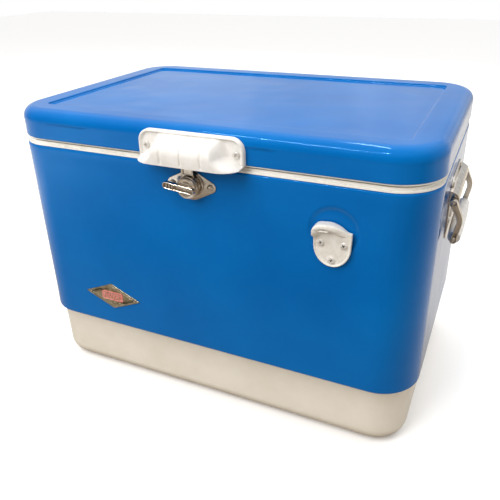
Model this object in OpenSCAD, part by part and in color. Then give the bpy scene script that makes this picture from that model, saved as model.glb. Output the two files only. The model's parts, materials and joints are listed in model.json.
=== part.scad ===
// Steel-clad picnic cooler chest with a hinged lid, a turn latch, a bottle
// opener and a folding carrying handle on each end.
// The origin is the centre of the base's underside: +X is the chest's right
// seen from the front, -Y is the front and +Z is up.

/* [Chest] */
// Length of the steel case, end to end
case_l = 600; // [500:1:720]
// Depth of the steel case, front to back
case_w = 390; // [330:1:470]
// Height of the case's rolled top edge
case_top = 377; // [340:1:460]
// Outer radius of the case's upright corners
case_r = 57; // [45:1:65]
// Thickness of the case's steel
case_t = 0.8; // [0.6:0.1:1.5]
// Radius of the case's rolled top edge
roll_r = 4; // [3:0.5:6]
// Radius of the hem along the case's lower edge
hem_r = 1.6; // [1.6:0.1:2.5]
// Reach of the flange that closes the case's top edge, measured inwards
top_flange = 18; // [12:0.5:24]
// Reach of the flange that closes the case's lower edge, measured inwards
low_flange = 16; // [13:0.5:20]

/* [Base pan] */
// Height of the base pan, up to the case's lower edge
base_h = 98; // [85:1:120]
// Wall of the base pan
base_t = 3.2; // [2.5:0.1:4]
// How far the pan's top stands in from the case
base_inset = 7; // [5:0.5:8]
// How much further in the pan's foot stands
base_taper = 2; // [0:0.5:4]
// Radius along the pan's bottom edge
base_edge_r = 25; // [15:1:30]
// Height of the rib that centres the case on the pan
rib_h = 6; // [3:0.5:8]
// Thickness of that rib
rib_t = 3; // [2:0.1:4]

/* [Liner] */
// Thickness of the insulated side walls, from the steel to the cavity
side_wall = 38; // [34:0.5:50]
// Radius of the cavity's upright corners
cavity_r = 36; // [25:1:45]
// Radius along the cavity's floor
cavity_floor_r = 18; // [10:1:24]
// Height of the cavity's floor
cavity_floor = 56; // [52:1:80]
// Wall of the liner
liner_t = 2.5; // [2:0.1:3.5]
// Thickness of the lip that lies on the case
rim_lip_t = 2; // [1.5:0.1:3]
// How far the rim's lip stands in from the case
rim_lip_inset = 1; // [0.5:0.1:3]
// Height of the rim's raised seat above its lip
rim_seat_h = 3; // [2:0.5:5]
// How far the raised seat stands in from the case
rim_seat_inset = 5.5; // [4:0.5:9]

/* [Lid] */
// How far the lid's skirt stands out past the case
lid_overhang = 0.6; // [0.2:0.1:3]
// Height of the lid's skirt, hem to top
lid_h = 40; // [36:1:50]
// Outer radius of the lid's upright corners
lid_r = 60; // [45:1:65]
// Radius along the lid's top edge
lid_edge_r = 17; // [12:1:20]
// Thickness of the lid's steel
lid_t = 0.8; // [0.6:0.1:1.5]
// Reach of the hem under the skirt
lid_hem = 9; // [6:0.5:14]
// Border between the recessed top panel and the lid's ends
panel_border_x = 43; // [30:1:60]
// Border between the recessed top panel and the lid's front and back
panel_border_y = 41; // [30:1:60]
// Depth of the recessed top panel
panel_step = 3; // [1.5:0.1:4]
// Thickness of the lip under the lid's hem
lid_lip_t = 2; // [1.5:0.1:3]
// How far that lip stands in from the case
lid_lip_inset = 1; // [0.5:0.1:3]
// Height of the gasket between the rim's seat and the lid's lip
gasket_h = 3; // [2:0.5:5]
// Width of the gasket
gasket_w = 8; // [5:0.5:10]
// How far the gasket stands in from the case
gasket_inset = 8.5; // [7:0.5:12]
// How far the lid's plug reaches below the rim's seat
plug_depth = 10; // [5:0.5:14]
// Gap between the lid's plug and the cavity's wall
plug_gap = 3; // [2:0.5:6]

/* [Lid handle] */
// Length of the handle
grip_l = 147; // [146:1:170]
// How far the handle's middle lies to the right of the latch's axis
grip_x = 3.5; // [0:0.5:5]
// Height of the handle's plate
grip_h = 37; // [36:1:38]
// Height of the handle's lower edge above the lid's hem
grip_drop = -3; // [-3:0.5:0]
// Thickness of the handle's plate
grip_plate_t = 4; // [3:0.1:5]
// Radius of the plate's upper corners
grip_corner_r = 17; // [12:1:18]
// Radius of the plate's lower corners
grip_foot_r = 5; // [4:0.5:8]
// Width of the raised rim round the plate
grip_rim_w = 3; // [2:0.5:3.5]
// Height of that rim above the plate
grip_rim_h = 3; // [2:0.5:4]
// How far the hood stands out from the skirt
grip_reach = 31; // [26:1:40]
// Half-length of the hood
hood_half = 53; // [50:1:54]
// Wall of the hood
hood_t = 4; // [3:0.1:5]
// Height of the hood's top above the handle's lower edge
hood_crown = 34; // [30:0.5:36]
// Radius along the hood's nose
hood_nose_r = 13; // [8:0.5:16]
// Radius of the hood's corners seen from above
hood_corner_r = 20; // [10:0.5:24]
// Distance of the handle's screws from its middle
grip_screw_x = 63; // [62:1:64]
// Height of the handle's screws above its lower edge
grip_screw_z = 16; // [14:1:22]

/* [Latch] */
// Height of the latch's axis below the case's top edge
latch_below = 25; // [24:0.5:32]
// Distance of the latch plate's screws from its middle
latch_screw_x = 27.3; // [25:0.1:32]
// Radius of the latch plate at its middle
latch_plate_r = 20; // [18:0.5:24]
// Radius of the latch plate's ends
latch_end_r = 7.5; // [6:0.5:9]
// Thickness of the latch plate
latch_plate_t = 1.2; // [0.8:0.1:2]
// Radius of the fixed boss
boss_r = 12.5; // [10:0.5:14]
// Height of the fixed boss
boss_h = 5; // [4:0.5:8]
// Radius of the turning cam
cam_r = 15; // [14:0.5:18]
// Thickness of the turning cam
cam_t = 4; // [4:0.5:6]
// Radius of the spindle
spindle_r = 4; // [3:0.5:5]
// Radius of the lever's cap
cap_r = 14; // [12:0.5:16]
// Thickness of the lever's cap
cap_t = 2.5; // [2:0.1:4]
// Reach of the lever from its axis
lever_l = 31; // [26:1:40]
// Width of the lever
lever_w = 9; // [7:0.5:12]
// Height of the lever's channel
lever_h = 6; // [4:0.5:8]
// Width of the strike
strike_w = 16; // [12:0.5:18]
// Thickness of the strike
strike_t = 1.5; // [1:0.1:2]
// Width of the strike's hook
hook_w = 7; // [5:0.5:8]
// Height of the hook's underside above the latch's axis
hook_z = 9; // [8.5:0.1:10]

/* [Bottle opener] */
// Distance of the opener's middle from the chest's right end
opener_from_end = 112.5; // [100:0.5:150]
// Drop from the case's top edge to the opener's lower tip
opener_below = 102; // [92:1:160]
// Half-width of the opener's plate
opener_half = 23.5; // [20:0.5:28]
// Height of the opener, up to its arched crown
opener_h = 57; // [55:1:62]
// Height of the opener's square shoulders
opener_shoulder = 47; // [45:1:50]
// Thickness of the opener's plate
opener_t = 3.5; // [3:0.1:5]
// How far the opener's hood stands out
opener_reach = 18; // [15:0.5:24]
// Thickness of the opener's rim and hood
opener_wall = 3; // [2:0.5:4]
// Radius of the pressed dish behind the opener
dish_r = 33; // [28:0.5:44]
// Height of the dish's centre above the opener's lower tip
dish_z = 44; // [30:1:45]
// Depth of the dish
dish_d = 2.5; // [1:0.1:4]

/* [Badge] */
// Distance of the badge's middle from the chest's left end
badge_from_end = 146; // [130:1:200]
// Height of the badge's centre above the case's lower edge
badge_up = 51; // [42:1:100]
// Length of the badge
badge_l = 99; // [80:1:120]
// Height of the badge
badge_h = 43; // [34:1:50]
// Thickness of the badge's sheet
badge_t = 0.8; // [0.5:0.1:1.5]
// Height of the badge's raised border above its sheet
badge_rim_h = 0.6; // [0.3:0.1:1]
// Width of that border, measured across it
badge_rim_w = 2.8; // [1.5:0.1:4]
// Length of the coloured plaque on the badge
plaque_l = 38; // [26:1:44]
// Height of the plaque
plaque_h = 15; // [10:0.5:16]

/* [Carrying handles] */
// Height of the barrel's axis below the case's top edge
barrel_below = 51; // [45:1:80]
// Distance of the barrel's axis from the end wall
barrel_out = 6.5; // [6.5:0.5:10]
// Outer radius of the barrel
barrel_r = 6; // [5:0.5:6]
// Half-length of the barrel
barrel_half = 62; // [56:1:70]
// Radius of the bail's pivot rod
rod_r = 3.2; // [2.5:0.1:3.6]
// Drop from the barrel's axis to the grip's axis
bail_drop = 51; // [48:1:70]
// How far the knee stands out past the barrel's axis
knee_out = 11.5; // [8:0.5:16]
// Drop from the barrel's axis to the knee
knee_drop = 22; // [16:1:30]
// Distance of the grip's axis from the end wall
grip_out = 12.5; // [12.5:0.5:20]
// Outer radius of the grip
handle_r = 9.5; // [8:0.5:9.5]
// Radius of the rod through the grip
grip_rod_r = 3; // [2.5:0.1:4]
// Half-depth of the bail's arms
arm_r = 3.5; // [3:0.1:3.5]
// Width of the bail's arms, along the end wall
arm_t = 10; // [8:0.5:12]
// Wall of the arms, which are open channels
arm_wall = 1.8; // [1.2:0.1:2]
// Drop from the case's top edge to the top of the bracket's plate
bracket_below = 27; // [20:1:30]
// Half-width of the bracket's plate
bracket_half = 52; // [48:1:56]
// Height of the bracket's plate
bracket_h = 90; // [84:1:100]
// Distance of the bracket's screws from its middle
bracket_screw_y = 42; // [36:1:42]
// Distance of the upper screws from the plate's top edge
bracket_screw_in = 8; // [7:0.5:10]
// Distance between the bracket's upper and lower row of screws
bracket_row = 52; // [51:0.5:54]
// Corner radius of the bracket's plate
bracket_corner_r = 17; // [6:1:18]
// Thickness of the bracket's plate
bracket_t = 1.5; // [1:0.1:2]

/* [Hinges] */
// Distance of each hinge's middle from the chest's end
hinge_from_end = 110; // [100:1:150]
// Length of each hinge
hinge_l = 76; // [60:1:100]
// Height of each leaf
leaf_h = 30; // [26:1:30]
// Thickness of the leaves
leaf_t = 1.5; // [1:0.1:2]
// Radius of the hinge pin
hinge_pin_r = 2.5; // [2:0.1:3]
// Outer radius of the knuckles
knuckle_r = 5; // [4.5:0.1:5]
// Distance of the hinge's axis from the back wall
hinge_out = 6; // [6:0.1:8]

/* [Drain] */
// Height of the drain's axis above the cavity's floor
drain_up = 11; // [9.5:0.5:14]
// Radius of the drain's bore
drain_bore_r = 8; // [6:0.5:9]
// Radius of the drain's threaded tube
drain_tube_r = 11; // [9.5:0.1:12]
// Radius of the drain's flange
drain_flange_r = 17; // [15:0.5:18]
// Radius of the cap
drain_cap_r = 14.5; // [13.5:0.5:16]
// Length of the nipple that takes the cap
nipple_l = 12; // [8:0.5:16]
// Half-width of the drain's nut, across its corners
nut_r = 14.5; // [13.5:0.5:16]
// Depth of the nut's pocket in the cavity's wall
pocket_d = 6; // [4:0.5:8]
// Length of the sump in the floor in front of the nut
sump_l = 22; // [20:1:30]

/* [Fasteners and fits] */
// Radius of the screws' shanks
screw_r = 2; // [1.5:0.1:2]
// Radius of the screws' heads
head_r = 4.2; // [3.5:0.1:4.5]
// Height of the screws' heads
head_h = 2.2; // [1.6:0.1:2.4]
// Length of the screws below the sheet they fasten to
screw_l = 9; // [6:0.5:14]
// Clearance round a screw's shank
screw_gap = 0.2; // [0.1:0.05:0.4]
// Radial clearance of a turning fit
run_gap = 0.05; // [0.03:0.01:0.1]
// Gap left round the foam
foam_gap = 0.3; // [0.2:0.1:1]
// Gap between the gasket and the rim when the lid is shut
seal_gap = 0.15; // [0.1:0.05:0.3]
// Side clearance between pieces that slide past each other
side_gap = 0.5; // [0.3:0.1:1]

/* [Hidden] */
$fn = 72;

// Where the big pieces stack up.
front = -case_w / 2;
back = case_w / 2;
end_wall = case_l / 2;
rim_seat = case_top + rim_lip_t + rim_seat_h;
lid_lip = rim_seat + gasket_h;
lid_low = lid_lip + lid_lip_t;
lid_top = lid_low + lid_h;
lid_l = case_l + 2 * lid_overhang;
lid_w = case_w + 2 * lid_overhang;
skirt_front = -lid_w / 2;
skirt_back = lid_w / 2;
panel_l = lid_l - 2 * panel_border_x;
panel_w = lid_w - 2 * panel_border_y;
cavity_l = case_l - 2 * side_wall;
cavity_w = case_w - 2 * side_wall;
plug_l = cavity_l - 2 * plug_gap;
plug_w = cavity_w - 2 * plug_gap;
plug_r = cavity_r - plug_gap;
plug_low = rim_seat - plug_depth;
plug_edge_r = 6;

// Colours.
blue = [0.0, 0.42, 0.76];
ivory = [0.85, 0.83, 0.77];
white = [0.94, 0.94, 0.93];
nickel = [0.72, 0.70, 0.66];
foam_colour = [0.93, 0.88, 0.72];
dark = [0.32, 0.31, 0.29];

// ---- Shapes that repeat ----

// A rounded rectangle, centred.
module rounded(l, w, r) {
    square([l - 2 * r, w], center = true);
    square([l, w - 2 * r], center = true);
    for (sx = [-1, 1], sy = [-1, 1])
        translate([sx * (l / 2 - r), sy * (w / 2 - r)]) circle(r);
}

// Sweeps a profile round a rounded rectangle. The profile's x runs outwards
// from the centres of the corner arcs, and its y is height.
module ring(l, w, r) {
    for (k = [0 : 3]) {
        along_x = k % 2 == 1;
        out = (along_x ? w : l) / 2 - r;
        run = (along_x ? l : w) - 2 * r;
        rotate([0, 0, 90 * k])
            translate([out, run / 2, 0]) rotate([90, 0, 0]) linear_extrude(run) children();
        rotate([0, 0, 90 * k])
            translate([out, run / 2, 0]) rotate_extrude(angle = 90) children();
    }
}

// The block that fills a ring's middle.
module core(l, w, r, low, high) {
    translate([r - l / 2, r - w / 2, low]) cube([l - 2 * r, w - 2 * r, high - low]);
}

// A quarter of a pipe's section, turned to a quadrant and moved to its centre.
module quarter(at, r, t, quadrant) {
    translate(at) intersection() {
        difference() {
            circle(r);
            circle(r - t);
        }
        rotate(90 * quadrant) square(r);
    }
}

// Two circles joined by their common tangents.
module link(a, ra, b, rb) {
    d = norm(b - a);
    heading = atan2(b[1] - a[1], b[0] - a[0]);
    spread = acos((ra - rb) / d);
    up = [cos(heading + spread), sin(heading + spread)];
    down = [cos(heading - spread), sin(heading - spread)];
    translate(a) circle(ra);
    translate(b) circle(rb);
    polygon([a + ra * up, a + ra * down, b + rb * down, b + rb * up]);
}

// Places children on the front wall: their x and y become the chest's x and z,
// and their z points out of the wall.
module on_front(x, z, wall = front) {
    translate([x, wall, z]) rotate([90, 0, 0]) children();
}

// The same on the back wall.
module on_back(x, z, wall = back) {
    translate([x, wall, z]) rotate([90, 0, 180]) children();
}

// Places children on an end wall, side 1 for the right and -1 for the left:
// their x runs along the wall, their y is up and their z points out.
module on_end(side, y, z, wall = end_wall) {
    translate([side * wall, y, z]) rotate([90, 0, 90 * side]) children();
}

// A pan-head cross-recess screw whose head rests on z = 0.
module screw(shank = screw_l) {
    difference() {
        intersection() {
            cylinder(r = head_r, h = head_h);
            translate([0, 0, head_h - 2 * head_r]) sphere(2 * head_r);
        }
        for (a = [0, 90])
            rotate([0, 0, a + cross_turn])
                translate([-cross_l / 2, -cross_w / 2, head_h / 2])
                    cube([cross_l, cross_w, head_h]);
    }
    translate([0, 0, -shank]) cylinder(r = screw_r, h = shank);
}

// The room that a screw's shank needs.
module screw_bore(shank = screw_l + 1) {
    translate([0, 0, -shank]) cylinder(r = screw_r + screw_gap, h = shank + 10);
}

// ---- Case, base, liner and foam ----

cross_l = 1.1 * head_r;
cross_w = 0.9;
cross_turn = 20;
opener_x = end_wall - opener_from_end;
opener_z = case_top - opener_below;
opener_corner_r = 4;
opener_side_r = 11;
opener_side_z = 27;
opener_tip_r = 15;
opener_arch_r = 30;
opener_lean = 5;
opener_flank_z = 36;
opener_rim_h = 1.2;
tooth_half = 9;
tooth_out = 5;
tooth_h = 2.5;
opener_boss_x = 14;
opener_boss_z = 30;
opener_tip_z = 8.5;
opener_bores = [[-opener_boss_x, opener_boss_z], [opener_boss_x, opener_boss_z],
                [0, opener_tip_z]];
bracket_top = case_top - bracket_below;
bracket_low = bracket_top - bracket_h;
bracket_bores = [for (y = [-bracket_screw_y, bracket_screw_y],
                      z = [bracket_top - bracket_screw_in,
                           bracket_top - bracket_screw_in - bracket_row])
                    [y, z]];
barrel_z = case_top - barrel_below;
latch_z = case_top - latch_below;
hinge_x = end_wall - hinge_from_end;
hinge_z = rim_seat;
hinge_screw_in = 11;
leaf_gap = 2;
hinge_bores = [-hinge_l / 2 + hinge_screw_in, 0, hinge_l / 2 - hinge_screw_in];
body_bore_z = case_top - leaf_h / 2 - leaf_gap;
lid_bore_z = lid_low + leaf_h / 2 + leaf_gap;
badge_x = end_wall - badge_from_end;
badge_z = base_h + badge_up;
rivet_r = 1.2;
rivet_head_r = 2;
rivet_head_h = 1.1;
rivet_l = 5;
rivet_in = 9;
rivet_x = badge_l / 2 - rivet_in;
retainer_r = spindle_r + 4;
retainer_t = 2;
spindle_tail = 8;
dish_slope = 6;

// The shank bores of everything that is screwed or riveted to the case.
module case_bores() {
    for (x = [-latch_screw_x, latch_screw_x]) on_front(x, latch_z) screw_bore();
    for (p = opener_bores) on_front(opener_x + p[0], opener_z + p[1]) screw_bore();
    for (x = [-rivet_x, rivet_x])
        on_front(x - badge_x, badge_z)
            translate([0, 0, -rivet_l - 1]) cylinder(r = rivet_r + screw_gap, h = rivet_l + 3);
    for (side = [-1, 1], p = bracket_bores) on_end(side, p[0], p[1]) screw_bore();
    for (s = [-1, 1], x = hinge_bores)
        on_back(s * hinge_x + x, body_bore_z) screw_bore();
}

// Where the latch's spindle passes the wall, with room for its retainer behind.
module spindle_bore(deep) {
    on_front(0, latch_z) {
        translate([0, 0, -case_t - 1]) cylinder(r = spindle_r + 1, h = case_t + 2);
        if (deep)
            translate([0, 0, -spindle_tail - 4])
                cylinder(r = retainer_r + 1, h = spindle_tail + 4 - case_t + 0.1);
    }
}

module case_profile() {
    r = case_r;
    translate([r - case_t, base_h + hem_r])
        square([case_t, case_top - roll_r - base_h - hem_r]);
    quarter([r - roll_r, case_top - roll_r], roll_r, case_t, 0);
    translate([r - top_flange, case_top - case_t]) square([top_flange - roll_r, case_t]);
    quarter([r - hem_r, base_h + hem_r], hem_r, case_t, 3);
    translate([r - low_flange, base_h]) square([low_flange - hem_r, case_t]);
}

// The pressed dish behind the opener: a shallow tray with a sloping edge.
module dish(depth, grow) {
    on_front(opener_x, opener_z + dish_z)
        rotate_extrude()
            polygon([[0, -depth], [dish_r - dish_slope + grow, -depth],
                     [dish_r + grow, 0], [dish_r + grow, 1], [0, 1]]);
}

module outer_case() {
    color(blue) difference() {
        union() {
            difference() {
                ring(case_l, case_w, case_r) case_profile();
                on_front(opener_x, opener_z + dish_z)
                    translate([0, 0, -1 - case_t]) cylinder(r = dish_r, h = case_t + 2);
            }
            on_front(opener_x, opener_z + dish_z)
                rotate_extrude()
                    polygon([[0, -dish_d - case_t], [dish_r - dish_slope, -dish_d - case_t],
                             [dish_r, -case_t], [dish_r, 0],
                             [dish_r - dish_slope, -dish_d], [0, -dish_d]]);
        }
        case_bores();
        spindle_bore(false);
    }
}

// The pan's outline, filled, at a distance inside its outer face.
module pan_profile(inside, high) {
    top_r = case_r - base_inset - inside;
    low_r = top_r - base_taper;
    arc_r = base_edge_r - inside;
    translate([low_r - arc_r, inside + arc_r]) circle(arc_r);
    polygon([[0, inside], [low_r - arc_r, inside], [low_r - arc_r, inside + arc_r],
             [low_r, inside + arc_r], [top_r, high], [0, high]]);
}

drain_z = cavity_floor + drain_up;
pad_inset = base_inset - 0.5;
pad_depth = 8;
pad_r = drain_flange_r + 1;
pocket_r = nut_r + 1.5;
liner_face = side_wall;

module base_pan() {
    rib_out = case_r - low_flange - foam_gap;
    rib_in = rib_out - rib_t;
    color(ivory) difference() {
        union() {
            ring(case_l, case_w, case_r) intersection() {
                difference() {
                    pan_profile(0, base_h);
                    difference() {
                        pan_profile(base_t, base_h + 1);
                        translate([rib_in, base_h - base_t]) square([case_r, base_t + 2]);
                    }
                }
                square([case_r, base_h]);
            }
            ring(case_l, case_w, case_r)
                translate([rib_in, base_h - base_t]) square([rib_t, base_t + rib_h]);
            core(case_l, case_w, case_r, 0, base_t);
            on_end(-1, 0, drain_z)
                translate([0, 0, -pad_inset - pad_depth]) cylinder(r = pad_r, h = pad_depth);
        }
        on_end(-1, 0, drain_z)
            translate([0, 0, -2 * side_wall])
                cylinder(r = drain_tube_r + screw_gap, h = 3 * side_wall);
    }
}

// The tub's profile, filled, at a distance outside the cavity's face.
module tub_profile(outside, high) {
    r = cavity_r + outside;
    arc_r = cavity_floor_r + outside;
    low = cavity_floor - outside;
    translate([r - arc_r, low + arc_r]) circle(arc_r);
    polygon([[0, low], [r - arc_r, low], [r - arc_r, low + arc_r], [r, low + arc_r],
             [r, high], [0, high]]);
}

// The tub as a filled block, at a distance outside the cavity's face.
module tub_block(outside, high) {
    ring(cavity_l, cavity_w, cavity_r)
        intersection() {
            tub_profile(outside, high);
            square([cavity_l, high]);
        }
    core(cavity_l, cavity_w, cavity_r, cavity_floor - outside, high);
}

// A flat ring between an outline set in from the case and the tub's wall.
module rim_ring(inset, low, thick) {
    translate([0, 0, low]) linear_extrude(thick) difference() {
        rounded(case_l - 2 * inset, case_w - 2 * inset, case_r - inset);
        rounded(cavity_l + liner_t, cavity_w + liner_t, cavity_r + liner_t / 2);
    }
}

// The pocket round the drain's nut, grown by a wall: it leaves a small sump.
module drain_pocket(grow) {
    on_end(-1, 0, drain_z)
        translate([0, 0, -liner_face - sump_l - grow])
            cylinder(r = pocket_r + grow, h = sump_l + pocket_d + 2 * grow);
}

module inner_liner() {
    color(white) difference() {
        union() {
            tub_block(liner_t, rim_seat);
            rim_ring(rim_lip_inset, case_top, rim_lip_t);
            rim_ring(rim_seat_inset, case_top + rim_lip_t, rim_seat_h);
            drain_pocket(liner_t);
        }
        tub_block(0, rim_seat + 1);
        drain_pocket(0);
        on_end(-1, 0, drain_z)
            translate([0, 0, -liner_face])
                cylinder(r = drain_tube_r + screw_gap, h = side_wall - pad_depth);
    }
}

module body_foam() {
    foam_low = base_h + rib_h + foam_gap;
    inner = case_r - low_flange - foam_gap - rib_t - foam_gap;
    color(foam_colour) difference() {
        union() {
            translate([0, 0, foam_low])
                linear_extrude(case_top - case_t - foam_gap - foam_low)
                    rounded(case_l - 2 * (roll_r + foam_gap), case_w - 2 * (roll_r + foam_gap),
                            case_r - roll_r - foam_gap);
            ring(case_l, case_w, case_r) intersection() {
                pan_profile(base_t + foam_gap, base_h);
                square([inner, base_h - base_t - foam_gap]);
            }
            ring(case_l, case_w, case_r)
                translate([0, base_h - base_t - foam_gap - 1])
                    square([inner, foam_low - base_h + base_t + foam_gap + 1]);
            core(case_l, case_w, case_r, base_t + foam_gap, foam_low);
        }
        tub_block(liner_t + foam_gap, case_top + 1);
        drain_pocket(liner_t + foam_gap);
        case_bores();
        spindle_bore(true);
        dish(dish_d + case_t + foam_gap, foam_gap);
        on_end(-1, 0, drain_z) {
            translate([0, 0, -liner_face])
                cylinder(r = drain_tube_r + foam_gap, h = 2 * side_wall);
            translate([0, 0, -pad_inset - pad_depth - foam_gap])
                cylinder(r = pad_r + foam_gap, h = pad_depth + side_wall);
        }
    }
}

// ---- Lid ----

strike_screw_x = 5;
strike_bores = [-strike_screw_x, strike_screw_x];
strike_bore_z = lid_low + 9;

module lid_bores() {
    for (s = [-1, 1])
        on_front(grip_x + s * grip_screw_x, lid_low + grip_drop + grip_screw_z, skirt_front)
            screw_bore();
    for (x = strike_bores) on_front(x, strike_bore_z, skirt_front) screw_bore();
    for (s = [-1, 1], x = hinge_bores)
        on_back(s * hinge_x + x, lid_bore_z, skirt_back) screw_bore();
}

module lid_shell() {
    r = lid_r;
    color(blue) difference() {
        union() {
            ring(lid_l, lid_w, lid_r) {
                translate([r - lid_t, lid_low]) square([lid_t, lid_h - lid_edge_r]);
                quarter([r - lid_edge_r, lid_top - lid_edge_r], lid_edge_r, lid_t, 0);
                translate([r - lid_hem, lid_low]) square([lid_hem, lid_t]);
            }
            translate([0, 0, lid_top - lid_t]) linear_extrude(lid_t) difference() {
                rounded(lid_l - 2 * lid_edge_r, lid_w - 2 * lid_edge_r, lid_r - lid_edge_r);
                square([panel_l, panel_w], center = true);
            }
            translate([0, 0, lid_top - panel_step - lid_t])
                linear_extrude(panel_step + lid_t) difference() {
                    square([panel_l + 2 * lid_t, panel_w + 2 * lid_t], center = true);
                    square([panel_l, panel_w], center = true);
                }
            translate([-panel_l / 2, -panel_w / 2, lid_top - panel_step - lid_t])
                cube([panel_l, panel_w, lid_t]);
        }
        lid_bores();
    }
}

// The plug's profile, filled, at a distance inside its outer face.
module plug_profile(inside) {
    r = plug_r - inside;
    arc_r = plug_edge_r - inside;
    translate([r - arc_r, plug_low + inside + arc_r]) circle(arc_r);
    polygon([[0, plug_low + inside], [r - arc_r, plug_low + inside],
             [r - arc_r, plug_low + inside + arc_r], [r, plug_low + inside + arc_r],
             [r, lid_low], [0, lid_low]]);
}

module lid_liner() {
    color(white) {
        ring(plug_l, plug_w, plug_r) difference() {
            plug_profile(0);
            translate([0, 0.01]) plug_profile(liner_t);
        }
        core(plug_l, plug_w, plug_r, plug_low, plug_low + liner_t);
        translate([0, 0, lid_lip]) linear_extrude(lid_lip_t) difference() {
            rounded(case_l - 2 * lid_lip_inset, case_w - 2 * lid_lip_inset,
                    case_r - lid_lip_inset);
            rounded(plug_l - liner_t, plug_w - liner_t, plug_r - liner_t / 2);
        }
    }
}

module lid_foam() {
    r = lid_r;
    arc_r = lid_edge_r - lid_t - foam_gap;
    low = lid_low + lid_t + foam_gap;
    high = lid_top - panel_step - lid_t - foam_gap;
    hem_in = r - lid_hem - foam_gap;
    color(foam_colour) difference() {
        union() {
            ring(lid_l, lid_w, lid_r) intersection() {
                union() {
                    translate([0, low]) square([r - lid_t - foam_gap, lid_h - lid_edge_r]);
                    translate([r - lid_edge_r, lid_top - lid_edge_r]) circle(arc_r);
                    translate([0, low]) square([r - lid_edge_r, lid_h]);
                    translate([0, lid_low + foam_gap]) square([hem_in, lid_h - lid_edge_r]);
                }
                square([r, high]);
            }
            core(lid_l, lid_w, lid_r, lid_low + foam_gap, high);
            translate([0, 0, plug_low + liner_t + foam_gap])
                linear_extrude(plug_depth + gasket_h + lid_lip_t - liner_t)
                    rounded(plug_l - 2 * (plug_edge_r + foam_gap),
                            plug_w - 2 * (plug_edge_r + foam_gap),
                            plug_r - plug_edge_r - foam_gap);
        }
        lid_bores();
    }
}

module lid_gasket() {
    color(dark)
        translate([0, 0, rim_seat + seal_gap])
            linear_extrude(gasket_h - seal_gap) difference() {
                rounded(case_l - 2 * gasket_inset, case_w - 2 * gasket_inset,
                        case_r - gasket_inset);
                rounded(case_l - 2 * (gasket_inset + gasket_w),
                        case_w - 2 * (gasket_inset + gasket_w),
                        case_r - gasket_inset - gasket_w);
            }
}

// ---- Lid handle ----

grip_low = lid_low + grip_drop;

// The hood's side view, filled, shrunk by its wall: x is outwards, y is height
// above the handle's lower edge.
module hood_side(inside) {
    translate([0, -1]) square([grip_reach - inside, hood_crown - hood_nose_r + 1]);
    translate([0, -1]) square([grip_reach - hood_nose_r, hood_crown - inside + 1]);
    translate([grip_reach - hood_nose_r, hood_crown - hood_nose_r])
        circle(hood_nose_r - inside);
}

// The hood's plan, filled, shrunk by its wall: x is along the lid, y outwards.
module hood_plan(inside) {
    half = hood_half - inside;
    flat = hood_half - hood_corner_r;
    deep = grip_reach - hood_corner_r;
    translate([-half, -1]) square([2 * half, deep + 1]);
    translate([-flat, -1]) square([2 * flat, grip_reach - inside + 1]);
    for (s = [-1, 1]) translate([s * flat, deep]) circle(hood_corner_r - inside);
}

// The plate's outline, shrunk all round: y is height above its lower edge.
module plate_outline(inside) {
    half = grip_l / 2 - inside;
    high = grip_h - inside;
    upper_r = grip_corner_r - inside;
    lower_r = grip_foot_r - inside;
    translate([-half, inside + lower_r]) square([2 * half, high - upper_r - inside - lower_r]);
    translate([lower_r - half, inside]) square([2 * (half - lower_r), high - upper_r - inside]);
    translate([upper_r - half, inside + lower_r])
        square([2 * (half - upper_r), high - inside - lower_r]);
    for (s = [-1, 1]) {
        translate([s * (half - upper_r), high - upper_r]) circle(upper_r);
        translate([s * (half - lower_r), inside + lower_r]) circle(lower_r);
    }
}

module hood_block(inside) {
    intersection() {
        translate([-grip_l / 2, 0, 0])
            rotate([90, 0, 90]) linear_extrude(grip_l) mirror([1, 0]) hood_side(inside);
        translate([0, 0, -2]) linear_extrude(grip_h + 4) mirror([0, 1]) hood_plan(inside);
    }
}

module lid_handle() {
    window_h = 22;
    window_half = hood_half - hood_t - 6;
    color(white) translate([grip_x, skirt_front, grip_low]) difference() {
        union() {
            intersection() {
                hood_block(0);
                translate([-grip_l, -2 * grip_reach, 0])
                    cube([2 * grip_l, 2 * grip_reach, grip_h]);
            }
            rotate([90, 0, 0]) linear_extrude(grip_plate_t) plate_outline(0);
            rotate([90, 0, 0]) linear_extrude(grip_plate_t + grip_rim_h) difference() {
                plate_outline(0);
                plate_outline(grip_rim_w);
            }
        }
        difference() {
            hood_block(hood_t);
            translate([-grip_l, -grip_plate_t, window_h])
                cube([2 * grip_l, grip_reach, grip_h]);
        }
        translate([-window_half, -grip_plate_t - grip_rim_h - 1, -1])
            cube([2 * window_half, grip_plate_t + grip_rim_h + 2, window_h + 1]);
        for (s = [-1, 1])
            translate([s * grip_screw_x, 0, grip_screw_z]) rotate([90, 0, 0])
                translate([0, 0, -1]) cylinder(r = screw_r + screw_gap, h = 20);
    }
}

module lid_handle_screws() {
    color(nickel)
        for (s = [-1, 1])
            on_front(grip_x + s * grip_screw_x, grip_low + grip_screw_z,
                     skirt_front - grip_plate_t)
                screw(screw_l + grip_plate_t);
}

// ---- Latch ----

boss_face = latch_plate_t + boss_h;
strike_in = boss_face + side_gap;
cam_in = strike_in + strike_t + side_gap;
cam_out = cam_in + cam_t;
cap_out = cam_out + cap_t;
hook_gap = 1;
groove_in = hook_z - hook_gap;
groove_out = norm([hook_w / 2, hook_z + strike_t]) + hook_gap;
groove_d = cam_t - 1.2;
notch_w = hook_w + 2 * hook_gap;
strike_shelf = lid_low + 2;
flange_reach = 1.6;
lever_floor = 1.5;

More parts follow.
